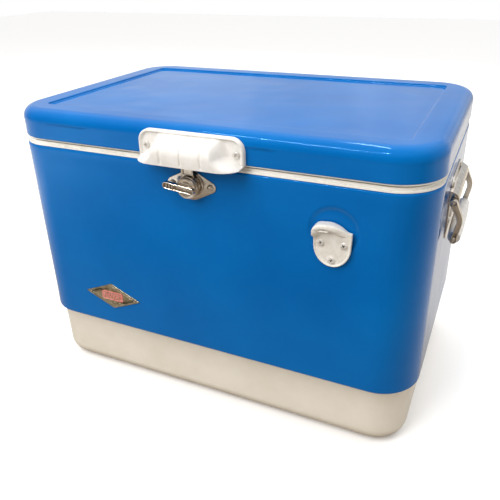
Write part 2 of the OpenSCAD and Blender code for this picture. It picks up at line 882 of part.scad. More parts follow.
module strike() {
    leaf_z = lid_low + 14;
    hook_reach = side_gap + groove_d - 0.6;
    color(nickel) difference() {
        union() {
            on_front(0, 0, skirt_front) translate([-strike_w / 2, strike_shelf, 0])
                cube([strike_w, leaf_z - strike_shelf, strike_t]);
            on_front(-strike_w / 2, 0)
                translate([0, strike_shelf, lid_overhang])
                    cube([strike_w, strike_t, strike_in + strike_t - lid_overhang]);
            on_front(-strike_w / 2, 0)
                translate([0, latch_z + hook_z, strike_in])
                    cube([strike_w, strike_shelf + strike_t - latch_z - hook_z, strike_t]);
            for (s = [-1, 1])
                on_front(s * (strike_w / 2 - strike_t / 2), 0)
                    translate([-strike_t / 2, latch_z + cam_r + 1, strike_in])
                        cube([strike_t, strike_shelf - latch_z - cam_r - 1,
                              strike_t + flange_reach]);
            on_front(-hook_w / 2, 0)
                translate([0, latch_z + hook_z, strike_in])
                    cube([hook_w, strike_t, strike_t + hook_reach]);
        }
        for (x = strike_bores)
            on_front(x, strike_bore_z, skirt_front)
                translate([0, 0, -1]) cylinder(r = screw_r + screw_gap, h = 6);
    }
}

module strike_screws() {
    color(nickel)
        for (x = strike_bores)
            on_front(x, strike_bore_z, skirt_front - strike_t) screw(screw_l + strike_t);
}

module latch_plate() {
    color(nickel) on_front(0, latch_z) difference() {
        linear_extrude(latch_plate_t)
            for (s = [-1, 1])
                link([0, 0], latch_plate_r, [s * latch_screw_x, 0], latch_end_r);
        translate([0, 0, -1]) cylinder(r = spindle_r + 1, h = latch_plate_t + 2);
        for (s = [-1, 1])
            translate([s * latch_screw_x, 0, -1])
                cylinder(r = screw_r + screw_gap, h = latch_plate_t + 2);
    }
}

module latch_plate_screws() {
    color(nickel)
        for (s = [-1, 1])
            on_front(s * latch_screw_x, latch_z, front - latch_plate_t)
                screw(screw_l + latch_plate_t);
}

module latch_boss() {
    color(nickel) on_front(0, latch_z) difference() {
        translate([0, 0, latch_plate_t]) cylinder(r = boss_r, h = boss_h);
        cylinder(r = spindle_r + run_gap, h = 20);
    }
}

module latch_cam() {
    color(nickel) on_front(0, latch_z) difference() {
        translate([0, 0, cam_in]) cylinder(r = cam_r, h = cam_t);
        translate([0, 0, cam_in - 1]) difference() {
            cylinder(r = groove_out, h = groove_d + 1);
            cylinder(r = groove_in, h = groove_d + 2);
        }
        translate([-notch_w / 2, 0, cam_in - 1])
            cube([notch_w, cam_r + 1, groove_d + 1]);
        cylinder(r = spindle_r, h = 40);
    }
}

module latch_lever() {
    tip = -lever_l + lever_w / 2;
    color(nickel) on_front(0, latch_z) difference() {
        union() {
            translate([0, 0, cam_out]) cylinder(r = cap_r, h = cap_t);
            translate([0, 0, cap_out]) linear_extrude(lever_h)
                link([cap_r - lever_w / 2, 0], lever_w / 2, [tip, 0], lever_w / 2);
        }
        translate([0, 0, cap_out + lever_floor]) linear_extrude(lever_h)
            link([cap_r - lever_w / 2, 0], lever_w / 2 - lever_floor,
                 [tip, 0], lever_w / 2 - lever_floor);
        cylinder(r = spindle_r, h = 60);
    }
}

module latch_spindle() {
    color(nickel) on_front(0, latch_z) {
        translate([0, 0, -spindle_tail])
            cylinder(r = spindle_r, h = spindle_tail + cap_out + lever_floor + 1);
    }
}

module latch_retainer() {
    color(nickel) on_front(0, latch_z) difference() {
        translate([0, 0, -case_t - 1 - retainer_t]) cylinder(r = retainer_r, h = retainer_t);
        translate([0, 0, -20]) cylinder(r = spindle_r, h = 30);
    }
}

// ---- Bottle opener and badge ----

// The opener's front view, drawn in by a border: a tapering shield under an arch.
module opener_outline(border = 0) {
    side_r = opener_side_r - border;
    corner_r = opener_corner_r - border;
    top = [opener_half - opener_corner_r, opener_shoulder - opener_corner_r];
    side = [opener_half - opener_side_r, opener_side_z];
    link([-top[0], top[1]], corner_r, top, corner_r);
    for (s = [-1, 1]) {
        link([s * top[0], top[1]], corner_r, [s * side[0], side[1]], side_r);
        link([s * side[0], side[1]], side_r, [0, opener_tip_r], opener_tip_r - border);
    }
    link([0, top[1]], corner_r, [0, opener_tip_r], opener_tip_r - border);
    intersection() {
        translate([-opener_lean, opener_h - opener_arch_r]) circle(opener_arch_r - border);
        translate([border - opener_half, opener_side_z])
            square([2 * (opener_half - border), opener_h]);
    }
}

// The side view of the rim and hood: x is outwards, y is height above the lower tip.
module opener_side() {
    low = opener_t + opener_rim_h;
    polygon([[0, 0], [low, 0], [low, opener_flank_z],
             [opener_reach - opener_wall, opener_shoulder - opener_wall],
             [opener_reach, opener_shoulder + opener_wall],
             [opener_reach - 2 * opener_wall, opener_h], [0, opener_h]]);
}

// The hood from above: x runs along the chest, y is outwards. It is deepest at the left.
module opener_plan() {
    low = opener_t + opener_rim_h;
    polygon([[-opener_half, 0], [opener_half, 0], [opener_half, low],
             [opener_half - opener_wall, low], [-opener_lean, opener_reach],
             [-opener_half, opener_reach]]);
}

module bottle_opener() {
    color(white) translate([opener_x, front, opener_z]) difference() {
        union() {
            rotate([90, 0, 0]) linear_extrude(opener_t) opener_outline();
            intersection() {
                rotate([90, 0, 0]) linear_extrude(opener_reach) difference() {
                    opener_outline();
                    opener_outline(opener_wall);
                }
                mirror([0, 1, 0]) rotate([90, 0, 90]) translate([0, 0, -opener_half])
                    linear_extrude(2 * opener_half) opener_side();
                mirror([0, 1, 0]) linear_extrude(opener_h + 1) opener_plan();
            }
            translate([-tooth_half, -opener_t - tooth_out, opener_shoulder])
                cube([2 * tooth_half, tooth_out + 1, tooth_h]);
        }
        for (p = opener_bores)
            translate([p[0], 0, p[1]]) rotate([90, 0, 0])
                translate([0, 0, -1]) cylinder(r = screw_r + screw_gap, h = opener_reach);
    }
}

module opener_screws() {
    color(nickel)
        for (p = opener_bores)
            on_front(opener_x + p[0], opener_z + p[1], front - opener_t)
                screw(screw_l + opener_t);
}

module diamond(l, h) {
    polygon([[-l / 2, 0], [0, -h / 2], [l / 2, 0], [0, h / 2]]);
}

module badge_plate() {
    side = norm([badge_l, badge_h]);
    field_l = badge_l - 2 * badge_rim_w * side / badge_h;
    field_h = badge_h - 2 * badge_rim_w * side / badge_l;
    color(nickel) on_front(-badge_x, badge_z) difference() {
        linear_extrude(badge_t + badge_rim_h) diamond(badge_l, badge_h);
        translate([0, 0, badge_t]) linear_extrude(badge_rim_h + 1) diamond(field_l, field_h);
        for (s = [-1, 1])
            translate([s * rivet_x, 0, -1]) cylinder(r = rivet_r + screw_gap, h = 4);
    }
}

module badge_plaque() {
    color([0.75, 0.2, 0.18]) on_front(-badge_x, badge_z)
        translate([0, 0, badge_t]) linear_extrude(badge_rim_h + 0.3)
            rounded(plaque_l, plaque_h, 3);
}

module badge_rivets() {
    color(nickel)
        for (s = [-1, 1])
            on_front(s * rivet_x - badge_x, badge_z) {
                translate([0, 0, -rivet_l])
                    cylinder(r = rivet_r, h = rivet_l + badge_t + badge_rim_h);
                translate([0, 0, badge_t + badge_rim_h])
                    cylinder(r = rivet_head_r, h = rivet_head_h);
            }
}

// ---- Carrying handles ----

arm_gap = 2;

module bracket(side) {
    mid = (bracket_top + bracket_low) / 2;
    color(nickel) on_end(side, 0, 0) difference() {
        union() {
            translate([0, mid, 0]) linear_extrude(bracket_t)
                rounded(2 * bracket_half, bracket_h, bracket_corner_r);
            translate([0, barrel_z, barrel_out]) rotate([0, 90, 0])
                translate([0, 0, -barrel_half]) cylinder(r = barrel_r, h = 2 * barrel_half);
            translate([-barrel_half, barrel_z - barrel_r, 0])
                cube([2 * barrel_half, 2 * barrel_r, barrel_out]);
        }
        translate([0, barrel_z, barrel_out]) rotate([0, 90, 0])
            translate([0, 0, -barrel_half - 5])
                cylinder(r = rod_r + run_gap, h = 2 * barrel_half + 10);
        for (p = bracket_bores)
            translate([p[0], p[1], -1]) cylinder(r = screw_r + screw_gap, h = 20);
    }
}

module bracket_screws(side) {
    color(nickel)
        for (p = bracket_bores)
            on_end(side, p[0], p[1], end_wall + bracket_t) screw(screw_l + bracket_t);
}

// The arm's side view, shrunk all round: x is outwards from the wall, y is height.
module arm_side(inside) {
    pivot = [barrel_out, barrel_z];
    knee = [barrel_out + knee_out, barrel_z - knee_drop];
    foot = [grip_out, barrel_z - bail_drop];
    link(pivot, arm_r + 1.5 - inside, knee, arm_r - inside);
    link(knee, arm_r - inside, foot, arm_r + 1 - inside);
}

module bail(side) {
    inner = barrel_half + arm_gap;
    rod_half = inner + arm_t - 1;
    color(nickel) on_end(side, 0, 0) {
        for (s = [0, 1])
            mirror([s, 0, 0]) difference() {
                translate([inner + arm_t, 0, 0])
                    rotate([0, -90, 0]) linear_extrude(arm_t) arm_side(0);
                translate([inner + arm_t + 1, 0, 0])
                    rotate([0, -90, 0]) linear_extrude(arm_t - arm_wall + 1)
                        arm_side(arm_wall);
            }
        translate([-rod_half, barrel_z, barrel_out]) rotate([0, 90, 0])
            cylinder(r = rod_r, h = 2 * rod_half);
        translate([-rod_half, barrel_z - bail_drop, grip_out]) rotate([0, 90, 0])
            cylinder(r = grip_rod_r, h = 2 * rod_half);
    }
}

module grip(side) {
    half = barrel_half + arm_gap - side_gap;
    color(white) on_end(side, 0, 0)
        translate([0, barrel_z - bail_drop, grip_out]) rotate([0, 90, 0])
            difference() {
                translate([0, 0, -half]) cylinder(r = handle_r, h = 2 * half);
                translate([0, 0, -half - 1])
                    cylinder(r = grip_rod_r + run_gap, h = 2 * half + 2);
            }
}

// ---- Hinges ----

hinge_y = back + hinge_out;
knuckle_l = hinge_l / 3;

// One knuckle, from its place along the hinge.
module knuckle(index) {
    gap = side_gap / 2;
    translate([-hinge_l / 2 + index * knuckle_l + gap, hinge_y, hinge_z])
        rotate([0, 90, 0]) cylinder(r = knuckle_r, h = knuckle_l - 2 * gap);
}

module pin_bore() {
    translate([-hinge_l, hinge_y, hinge_z]) rotate([0, 90, 0])
        cylinder(r = hinge_pin_r + run_gap, h = 2 * hinge_l);
}

leaf_short = 1;
knuckle_root = 4;
pin_over = 1;

module hinge_leaves_body() {
    color(nickel)
        for (s = [-1, 1])
            translate([s * hinge_x, 0, 0]) difference() {
                union() {
                    translate([-hinge_l / 2, back, case_top - leaf_h])
                        cube([hinge_l, leaf_t, leaf_h - leaf_short]);
                    for (i = [0, 2]) {
                        knuckle(i);
                        translate([-hinge_l / 2 + i * knuckle_l + side_gap / 2, back,
                                   case_top - knuckle_root])
                            cube([knuckle_l - side_gap, leaf_t, hinge_z - case_top + knuckle_root]);
                    }
                }
                pin_bore();
                for (x = hinge_bores)
                    on_back(x, body_bore_z) translate([0, 0, -1])
                        cylinder(r = screw_r + screw_gap, h = 10);
            }
}

module hinge_leaves_lid() {
    color(nickel)
        for (s = [-1, 1])
            translate([s * hinge_x, 0, 0]) difference() {
                union() {
                    translate([-hinge_l / 2, skirt_back, lid_low + leaf_short])
                        cube([hinge_l, leaf_t, leaf_h - leaf_short]);
                    knuckle(1);
                    translate([-knuckle_l / 2 + side_gap / 2, skirt_back, hinge_z])
                        cube([knuckle_l - side_gap, leaf_t, lid_low + knuckle_root - hinge_z]);
                }
                pin_bore();
                for (x = hinge_bores)
                    on_back(x, lid_bore_z, skirt_back) translate([0, 0, -1])
                        cylinder(r = screw_r + screw_gap, h = 10);
            }
}

module hinge_pins() {
    color(nickel)
        for (s = [-1, 1])
            translate([s * hinge_x - hinge_l / 2 - pin_over, hinge_y, hinge_z])
                rotate([0, 90, 0]) cylinder(r = hinge_pin_r, h = hinge_l + 2 * pin_over);
}

module hinge_screws_body() {
    color(nickel)
        for (s = [-1, 1], x = hinge_bores)
            on_back(s * hinge_x + x, body_bore_z, back + leaf_t) screw(screw_l + leaf_t);
}

module hinge_screws_lid() {
    color(nickel)
        for (s = [-1, 1], x = hinge_bores)
            on_back(s * hinge_x + x, lid_bore_z, skirt_back + leaf_t) screw(screw_l + leaf_t);
}

// ---- Drain ----

flange_t = 3;
nut_t = 5;
washer_t = 2;
seal_t = 1.5;
cap_roof = 2;
knurl_step = 15;
knurl_w = 1.6;
knurl_out = 0.8;
pocket_floor = pocket_d - liner_face;
nipple_end = flange_t - pad_inset + nipple_l;

module drain_spout() {
    inner_end = pocket_floor - washer_t - nut_t - 1;
    color(white) on_end(-1, 0, drain_z) difference() {
        union() {
            translate([0, 0, inner_end])
                cylinder(r = drain_tube_r, h = nipple_end - inner_end);
            translate([0, 0, -pad_inset]) cylinder(r = drain_flange_r, h = flange_t);
        }
        translate([0, 0, inner_end - 1])
            cylinder(r = drain_bore_r, h = nipple_end - inner_end + 2);
    }
}

module drain_washer() {
    color(dark) on_end(-1, 0, drain_z) difference() {
        translate([0, 0, pocket_floor - washer_t]) cylinder(r = nut_r, h = washer_t);
        translate([0, 0, pocket_floor - washer_t - 1])
            cylinder(r = drain_tube_r + run_gap, h = washer_t + 2);
    }
}

module drain_nut() {
    color(white) on_end(-1, 0, drain_z) difference() {
        translate([0, 0, pocket_floor - washer_t - nut_t])
            cylinder(r = nut_r, h = nut_t, $fn = 6);
        translate([0, 0, pocket_floor - washer_t - nut_t - 1])
            cylinder(r = drain_tube_r + run_gap, h = nut_t + 2);
    }
}

module drain_cap() {
    cap_in = flange_t - pad_inset + side_gap;
    cap_end = nipple_end + side_gap + seal_t + cap_roof;
    color(white) on_end(-1, 0, drain_z) difference() {
        union() {
            translate([0, 0, cap_in]) cylinder(r = drain_cap_r, h = cap_end - cap_in);
            for (a = [0 : knurl_step : 360 - knurl_step])
                rotate([0, 0, a])
                    translate([drain_cap_r - 1, -knurl_w / 2, cap_in + 1])
                        cube([1 + knurl_out, knurl_w, cap_end - cap_in - 2]);
        }
        translate([0, 0, cap_in - 1])
            cylinder(r = drain_tube_r + run_gap, h = cap_end - cap_roof - cap_in + 1);
    }
}

module drain_cap_seal() {
    color(dark) on_end(-1, 0, drain_z)
        translate([0, 0, nipple_end + side_gap])
            cylinder(r = drain_tube_r - foam_gap, h = seal_t);
}

outer_case();
base_pan();
inner_liner();
body_foam();
lid_shell();
lid_liner();
lid_foam();
lid_gasket();
lid_handle();
lid_handle_screws();
strike();
strike_screws();
latch_plate();
latch_plate_screws();
latch_boss();
latch_cam();
latch_lever();
latch_spindle();
latch_retainer();
bottle_opener();
opener_screws();
badge_plate();
badge_plaque();
badge_rivets();
bracket(1);  // bracket_right
bracket_screws(1);  // bracket_screws_right
bail(1);  // bail_right
grip(1);  // grip_right
bracket(-1);  // bracket_left
bracket_screws(-1);  // bracket_screws_left
bail(-1);  // bail_left
grip(-1);  // grip_left
hinge_leaves_body();
hinge_leaves_lid();
hinge_pins();
hinge_screws_body();
hinge_screws_lid();
drain_spout();
drain_washer();
drain_nut();
drain_cap();
drain_cap_seal();
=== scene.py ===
"""Steel-clad picnic cooler chest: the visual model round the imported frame.

Shapes are written in millimetres and turned to metres by MM; lights and the camera are placed in
metres. The origin is the centre of the base's underside, +X is the chest's right, -Y its front
and +Z is up.
"""
import json
from math import acos, asin, cos, degrees, exp, hypot, log1p, pi, radians, sin, sqrt

import bmesh
import bpy
from mathutils import Matrix, Vector, noise


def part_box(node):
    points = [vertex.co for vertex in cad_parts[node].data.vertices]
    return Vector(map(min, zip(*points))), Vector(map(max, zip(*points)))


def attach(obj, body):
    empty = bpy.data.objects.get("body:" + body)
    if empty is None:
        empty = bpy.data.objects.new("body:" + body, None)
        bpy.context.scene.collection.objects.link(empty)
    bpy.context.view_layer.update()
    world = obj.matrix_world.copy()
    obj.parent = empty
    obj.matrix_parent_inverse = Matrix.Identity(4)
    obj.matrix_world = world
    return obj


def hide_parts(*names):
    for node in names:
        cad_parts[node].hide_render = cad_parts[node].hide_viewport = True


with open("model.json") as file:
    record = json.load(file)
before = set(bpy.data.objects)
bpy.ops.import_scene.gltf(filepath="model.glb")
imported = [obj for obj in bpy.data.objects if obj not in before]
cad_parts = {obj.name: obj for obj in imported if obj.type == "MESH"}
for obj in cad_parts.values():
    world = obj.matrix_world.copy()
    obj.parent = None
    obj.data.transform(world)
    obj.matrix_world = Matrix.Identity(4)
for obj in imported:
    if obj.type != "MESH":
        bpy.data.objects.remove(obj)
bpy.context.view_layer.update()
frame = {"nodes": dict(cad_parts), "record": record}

MM = 0.001
TAU = 2 * pi
nodes = frame["nodes"]
scene = bpy.context.scene


def node_mm(name):
    """A CAD node's lowest and highest corner in millimetres."""
    low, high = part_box(name)
    return Vector(low) / MM, Vector(high) / MM


def middle_mm(name, axis):
    """The middle of a CAD node's box along one axis, in millimetres."""
    low, high = node_mm(name)
    return (getattr(low, axis) + getattr(high, axis)) / 2


# ---- Sizes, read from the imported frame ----

case_low, case_high = node_mm("outer_case")
lid_low, lid_high = node_mm("lid_shell")
CASE_L = case_high.x - case_low.x
CASE_W = case_high.y - case_low.y
CASE_TOP = case_high.z
BASE_H = case_low.z
CASE_R = 57
CASE_T = 0.8
LID_L = lid_high.x - lid_low.x
LID_W = lid_high.y - lid_low.y
LID_LOW = lid_low.z
LID_TOP = lid_high.z
LID_R = 60
FRONT = -CASE_W / 2
SKIRT = -LID_W / 2
END = CASE_L / 2


# ---- Materials ----

def material(name):
    """A new node material with its Principled shader."""
    mat = bpy.data.materials.new(name)
    mat.use_nodes = True
    shader = mat.node_tree.nodes["Principled BSDF"]
    return mat, mat.node_tree, shader


def feed(node, **values):
    """Sets a node's inputs by name: a socket is linked, a number or a colour is a constant."""
    for name, value in values.items():
        socket = node.inputs[name.replace("_", " ")]
        if isinstance(value, bpy.types.NodeSocket):
            node.id_data.links.new(value, socket)
        else:
            socket.default_value = value


def add(tree, kind, **values):
    """A new shader node: values named like its properties set them, the others feed its inputs."""
    node = tree.nodes.new("ShaderNode" + kind)
    for name, value in values.items():
        if hasattr(node, name):
            setattr(node, name, value)
        else:
            feed(node, **{name: value})
    return node


def coords(tree, stretch=(1, 1, 1)):
    """Object coordinates in millimetres, stretched per axis."""
    source = add(tree, "TexCoord")
    scaled = add(tree, "VectorMath", operation="MULTIPLY")
    scaled.inputs[1].default_value = [s / MM for s in stretch]
    tree.links.new(source.outputs["Object"], scaled.inputs[0])
    return scaled.outputs[0]


def noise_of(where, size, detail=3.0, rough=0.5):
    """A noise value whose features are about size millimetres across."""
    node = add(where.id_data, "TexNoise", Vector=where, Scale=1 / size, Detail=detail, Roughness=rough)
    return node.outputs["Fac"]


def ramp(value, *stops):
    """A colour ramp; stops are (position, colour), a colour being three numbers."""
    node = add(value.id_data, "ValToRGB", Fac=value)
    elements = node.color_ramp.elements
    while len(elements) < len(stops):
        elements.new(0.5)
    for element, (place, colour) in zip(elements, stops):
        element.position = place
        element.color = (*colour, 1)
    return node.outputs["Color"]


def span(value, low, high, start=0.3, end=0.7):
    """Maps a value's range start to end onto low to high."""
    node = add(value.id_data, "MapRange", Value=value, From_Min=start, From_Max=end, To_Min=low,
               To_Max=high)
    return node.outputs["Result"]


def blend_colours(amount, first, second, mode="MIX"):
    """Mixes a colour socket with a second socket or constant colour."""
    node = add(first.id_data, "Mix", data_type="RGBA", blend_type=mode, Factor=amount, A=first, B=second)
    return node.outputs["Result"]


def bumps(shader, *layers):
    """Bump layers, each (height socket, depth in millimetres)."""
    previous = (0, 0, 0)
    for height, depth in layers:
        node = add(shader.id_data, "Bump", Strength=1.0, Distance=depth * MM, Height=height, Normal=previous)
        previous = node.outputs["Normal"]
    feed(shader, Normal=previous)


def blue_enamel():
    """Glossy baked enamel: faint orange peel, rubbed haze and tiny scuffs."""
    mat, tree, shader = material("blue_enamel")
    where = coords(tree)
    cloud = noise_of(where, 140, 3)
    base = ramp(cloud, (0.3, (0.0, 0.112, 0.395)), (0.7, (0.0, 0.142, 0.465)))
    scuff = noise_of(coords(tree, (1, 1, 0.12)), 1.6, 5, 0.7)
    rubbed = span(scuff, 0.0, 0.16, 0.66, 0.80)
    pale = ramp(cloud, (0.0, (0.10, 0.28, 0.62)), (1.0, (0.16, 0.34, 0.66)))
    haze = noise_of(where, 45, 4, 0.6)
    feed(shader, Base_Color=blend_colours(rubbed, base, pale),
         Roughness=span(haze, 0.055, 0.13), IOR=1.5, Specular_Tint=(0.20, 0.55, 1.0, 1))
    peel = noise_of(where, 3.2, 2)
    sheet = noise_of(where, 70, 1)
    bumps(shader, (sheet, 0.9), (peel, 0.006))
    return mat


def plastic(name, light, dark, rough, grain, speck, cloud_size=60):
    """Moulded plastic: uneven colour, fine grain and a few dark specks."""
    mat, tree, shader = material(name)
    where = coords(tree)
    cloud = noise_of(where, cloud_size, 4, 0.6)
    base = ramp(cloud, (0.32, dark), (0.62, light))
    grime = ramp(cloud, (0.0, [c * 0.55 for c in dark]), (1.0, [c * 0.6 for c in dark]))
    spots = noise_of(where, 1.4, 2, 0.6)
    amount = span(spots, 0.0, speck, 0.70, 0.80)
    wear = noise_of(where, 22, 4, 0.6)
    feed(shader, Base_Color=blend_colours(amount, base, grime),
         Roughness=span(wear, rough - 0.07, rough + 0.07))
    fine = noise_of(where, 0.9, 2)
    broad = noise_of(where, 35, 1)
    bumps(shader, (broad, 0.25), (fine, grain))
    return mat


def metal(name, light, dark, rough, brushed, pits=0.25, metallic=1.0):
    """Plated or bare metal: tarnish clouds, brushing and small pits."""
    mat, tree, shader = material(name)
    where = coords(tree)
    cloud = noise_of(where, 9, 5, 0.65)
    base = ramp(cloud, (0.35, dark), (0.60, light))
    stain = ramp(cloud, (0.0, [c * 0.35 for c in dark]), (1.0, [c * 0.5 for c in dark]))
    pit = span(noise_of(where, 0.8, 3, 0.6), 0.0, pits, 0.66, 0.78)
    streak = noise_of(coords(tree, brushed), 0.7, 3, 0.6)
    feed(shader, Base_Color=blend_colours(pit, base, stain), Metallic=metallic,
         Roughness=span(streak, rough - 0.06, rough + 0.10))
    bumps(shader, (streak, 0.012), (cloud, 0.02))
    return mat


def rubber(name, light, dark):
    """Matt seal rubber with a chalky bloom."""
    mat, tree, shader = material(name)
    where = coords(tree)
    bloom = noise_of(where, 14, 5, 0.7)
    feed(shader, Base_Color=ramp(bloom, (0.35, dark), (0.7, light)),
         Roughness=span(bloom, 0.55, 0.8))
    bumps(shader, (noise_of(where, 1.1, 3), 0.03))
    return mat


def foam_material():
    """Rigid poured foam with open cells."""
    mat, tree, shader = material("foam")
    where = coords(tree)
    cells = add(tree, "TexVoronoi", Vector=where, Scale=0.7).outputs["Distance"]
    feed(shader, Base_Color=ramp(cells, (0.1, (0.62, 0.50, 0.26)), (0.6, (0.84, 0.75, 0.50))),
         Roughness=0.9)
    bumps(shader, (cells, 0.25))
    return mat


MATS = {"blue_enamel": blue_enamel(), "foam": foam_material()}
for name, *look in (
        ("ivory_plastic", (0.83, 0.785, 0.70), (0.77, 0.72, 0.625), 0.36, 0.02, 0.35),
        ("liner_plastic", (0.88, 0.865, 0.82), (0.82, 0.80, 0.74), 0.26, 0.012, 0.2),
        ("handle_plastic", (0.80, 0.785, 0.755), (0.73, 0.71, 0.675), 0.27, 0.012, 0.18, 24),
        ("opener_enamel", (0.80, 0.775, 0.72), (0.70, 0.665, 0.60), 0.30, 0.03, 0.5, 7),
        ("badge_red", (0.74, 0.30, 0.26), (0.58, 0.15, 0.12), 0.28, 0.02, 0.4, 5)):
    MATS[name] = plastic(name, *look)
for name, *look in (
        ("nickel", (0.74, 0.68, 0.60), (0.60, 0.53, 0.45), 0.17, (1, 1, 0.15)),
        ("zinc", (0.84, 0.82, 0.78), (0.70, 0.67, 0.62), 0.34, (1, 1, 1), 0.12, 0.45),
        ("badge_metal", (0.66, 0.60, 0.46), (0.36, 0.31, 0.20), 0.33, (0.2, 1, 1), 0.6)):
    MATS[name] = metal(name, *look)
MATS["seal_rubber"] = rubber("seal_rubber", (0.52, 0.40, 0.31), (0.36, 0.27, 0.21))


# ---- Building meshes ----

class Shape:
    """Collects vertices in millimetres and faces, then becomes a piece."""

    def __init__(self):
        self.points = []
        self.faces = []

    def grid(self, rows, wrap=False, cap=False):
        """Quads between rows of points; wrap joins each row's ends, cap closes both end rows."""
        start = len(self.points)
        wide = len(rows[0])
        for row in rows:
            self.points.extend(Vector(p) for p in row)
        steps = wide if wrap else wide - 1
        for r in range(len(rows) - 1):
            for c in range(steps):
                d = (c + 1) % wide
                a = start + r * wide
                self.faces.append((a + c, a + d, a + wide + d, a + wide + c))
        if cap:
            self.face(rows[0], True)
            self.face(rows[-1])
        return self

    def face(self, ring, flip=False):
        """One face over a closed ring of points."""
        start = len(self.points)
        self.points.extend(Vector(p) for p in ring)
        loop = range(start, len(self.points))
        self.faces.append(tuple(reversed(loop) if flip else loop))

    def moved(self, matrix):
        """The same shape, moved."""
        out = Shape()
        out.points = [matrix @ p for p in self.points]
        out.faces = list(self.faces)
        return out

    def join(self, other, place=Matrix()):
        """Adds another shape, moved to a place."""
        start = len(self.points)
        self.points.extend(place @ p for p in other.points)
        self.faces.extend(tuple(i + start for i in face) for face in other.faces)
        return self


def new_object(name, data):
    obj = bpy.data.objects.new(name, data)
    scene.collection.objects.link(obj)
    return obj


WELD = 0.002
SLIVER = 0.0005


def piece(name, shape, mat, body, replaced=(), smooth=38, thick=0.0):
    mesh = bpy.data.meshes.new(name)
    build = bmesh.new()
    verts = [build.verts.new(p * MM) for p in shape.points]
    for face in shape.faces:
        try:
            build.faces.new([verts[i] for i in face])
        except ValueError:
            continue
    bmesh.ops.remove_doubles(build, verts=build.verts, dist=WELD * MM)
    bmesh.ops.dissolve_degenerate(build, edges=build.edges, dist=SLIVER * MM)
    bmesh.ops.recalc_face_normals(build, faces=build.faces)
    build.to_mesh(mesh)
    build.free()
    obj = new_object(name, mesh)
    mesh.materials.append(MATS[mat])
    mesh.shade_smooth()
    mesh.set_sharp_from_angle(angle=radians(smooth))
    if thick:
        sheet = obj.modifiers.new("sheet", "SOLIDIFY")
        sheet.thickness = thick * MM
        sheet.offset = -1
        sheet.use_even_offset = True
    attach(obj, body)
    if replaced:
        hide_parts(*replaced)
    return obj


def wall_frame(place, heading):
    """Local x along a wall, local y up and local z out of it; heading 0 faces the front."""
    return (Matrix.Translation(place) @ Matrix.Rotation(radians(heading), 4, "Z")
            @ Matrix.Rotation(radians(90), 4, "X"))


def front_frame(x, z, wall=FRONT):
    return wall_frame((x, wall, z), 0)


def back_frame(x, z, wall):
    return wall_frame((x, wall, z), 180)


def end_frame(side, y, z, wall=END):
    return wall_frame((side * wall, y, z), side * 90)


def cross_frame(side, x, y, z):
    """In a wall's frame: local z along the wall, away from its middle on the side given."""
    return Matrix.Translation((x, y, z)) @ Matrix.Rotation(side * pi / 2, 4, "Y")


def arc(centre, radius, start, end, steps):
    """Points on an arc, angles in degrees."""
    turn = [radians(start + (end - start) * i / steps) for i in range(steps + 1)]
    return [(centre[0] + radius * cos(a), centre[1] + radius * sin(a)) for a in turn]


def lathe(profile, sides=48):
    """Turns (radius, height) points about local z."""
    circle = arc((0, 0), 1, 0, 360, sides)
    circle[-1] = circle[0]
    return Shape().grid([[(r * x, r * y, h) for r, h in profile] for x, y in circle])


def rod(start, end, radius, sides=24, edge=0.4):
    """A round bar with softened ends."""
    start, end = Vector(start), Vector(end)
    length = (end - start).length
    profile = ([(0, 0), (radius - edge, 0)] + arc((radius - edge, edge), edge, -60, 0, 2)
               + arc((radius - edge, length - edge), edge, 0, 90, 3) + [(0, length)])
    turn = (end - start).to_track_quat("Z", "Y").to_matrix().to_4x4()
    return lathe(profile, sides).moved(Matrix.Translation(start) @ turn)


def inset_outline(points, distance):
    """A closed outline moved inwards, each point along the mean of its edges' normals."""
    count = len(points)
    moved = []
    for i, point in enumerate(points):
        before = Vector(points[i]) - Vector(points[i - 1])
        after = Vector(points[(i + 1) % count]) - Vector(point)
        normals = [Vector((-e.y, e.x)).normalized() for e in (before, after) if e.length > 1e-6]
        mean = sum(normals, Vector((0, 0))).normalized()
        scale = 1 / max(0.5, mean.dot(normals[0]))
        moved.append(Vector(point) + mean * distance * scale)
    return moved


def quarter(steps):
    """The angles of a quarter turn in radians, without its start."""
    return [radians(90 * i / steps) for i in range(1, steps + 1)]


def slab(outline, low, high, edge=0.4, steps=3):
    """An extruded closed outline (counter-clockwise) with a rounded upper edge."""
    levels = [(0, low), (0, high - edge)]
    levels += [(edge * (1 - cos(a)), high - edge + edge * sin(a)) for a in quarter(steps)]
    return stepped(outline, levels)


def stepped(outline, levels):
    """A solid of an outline's insets; levels are (inset, height) pairs."""
    rows = [[(p.x, p.y, high) for p in inset_outline(outline, inset)] for inset, high in levels]
    return Shape().grid(rows, wrap=True, cap=True)


def stadium(half, r_mid, r_end, steps=10):
    """An almond: two end circles joined to a middle circle by tangents, counter-clockwise."""
    lean = degrees(acos((r_mid - r_end) / half))
    return (arc((half, 0), r_end, -lean, lean, steps) + arc((0, 0), r_mid, lean, 180 - lean, steps)
            + arc((-half, 0), r_end, 180 - lean, 180 + lean, steps)
            + arc((0, 0), r_mid, 180 + lean, 360 - lean, steps))


def box_outline(half_x, half_y, radius, steps=6, middle=(0, 0)):
    """A rounded rectangle, counter-clockwise."""
    points = []
    for k, (sx, sy) in enumerate(((1, -1), (1, 1), (-1, 1), (-1, -1))):
        centre = (middle[0] + sx * (half_x - radius), middle[1] + sy * (half_y - radius))
        points += arc(centre, radius, 90 * k - 90, 90 * k, steps)
    return points


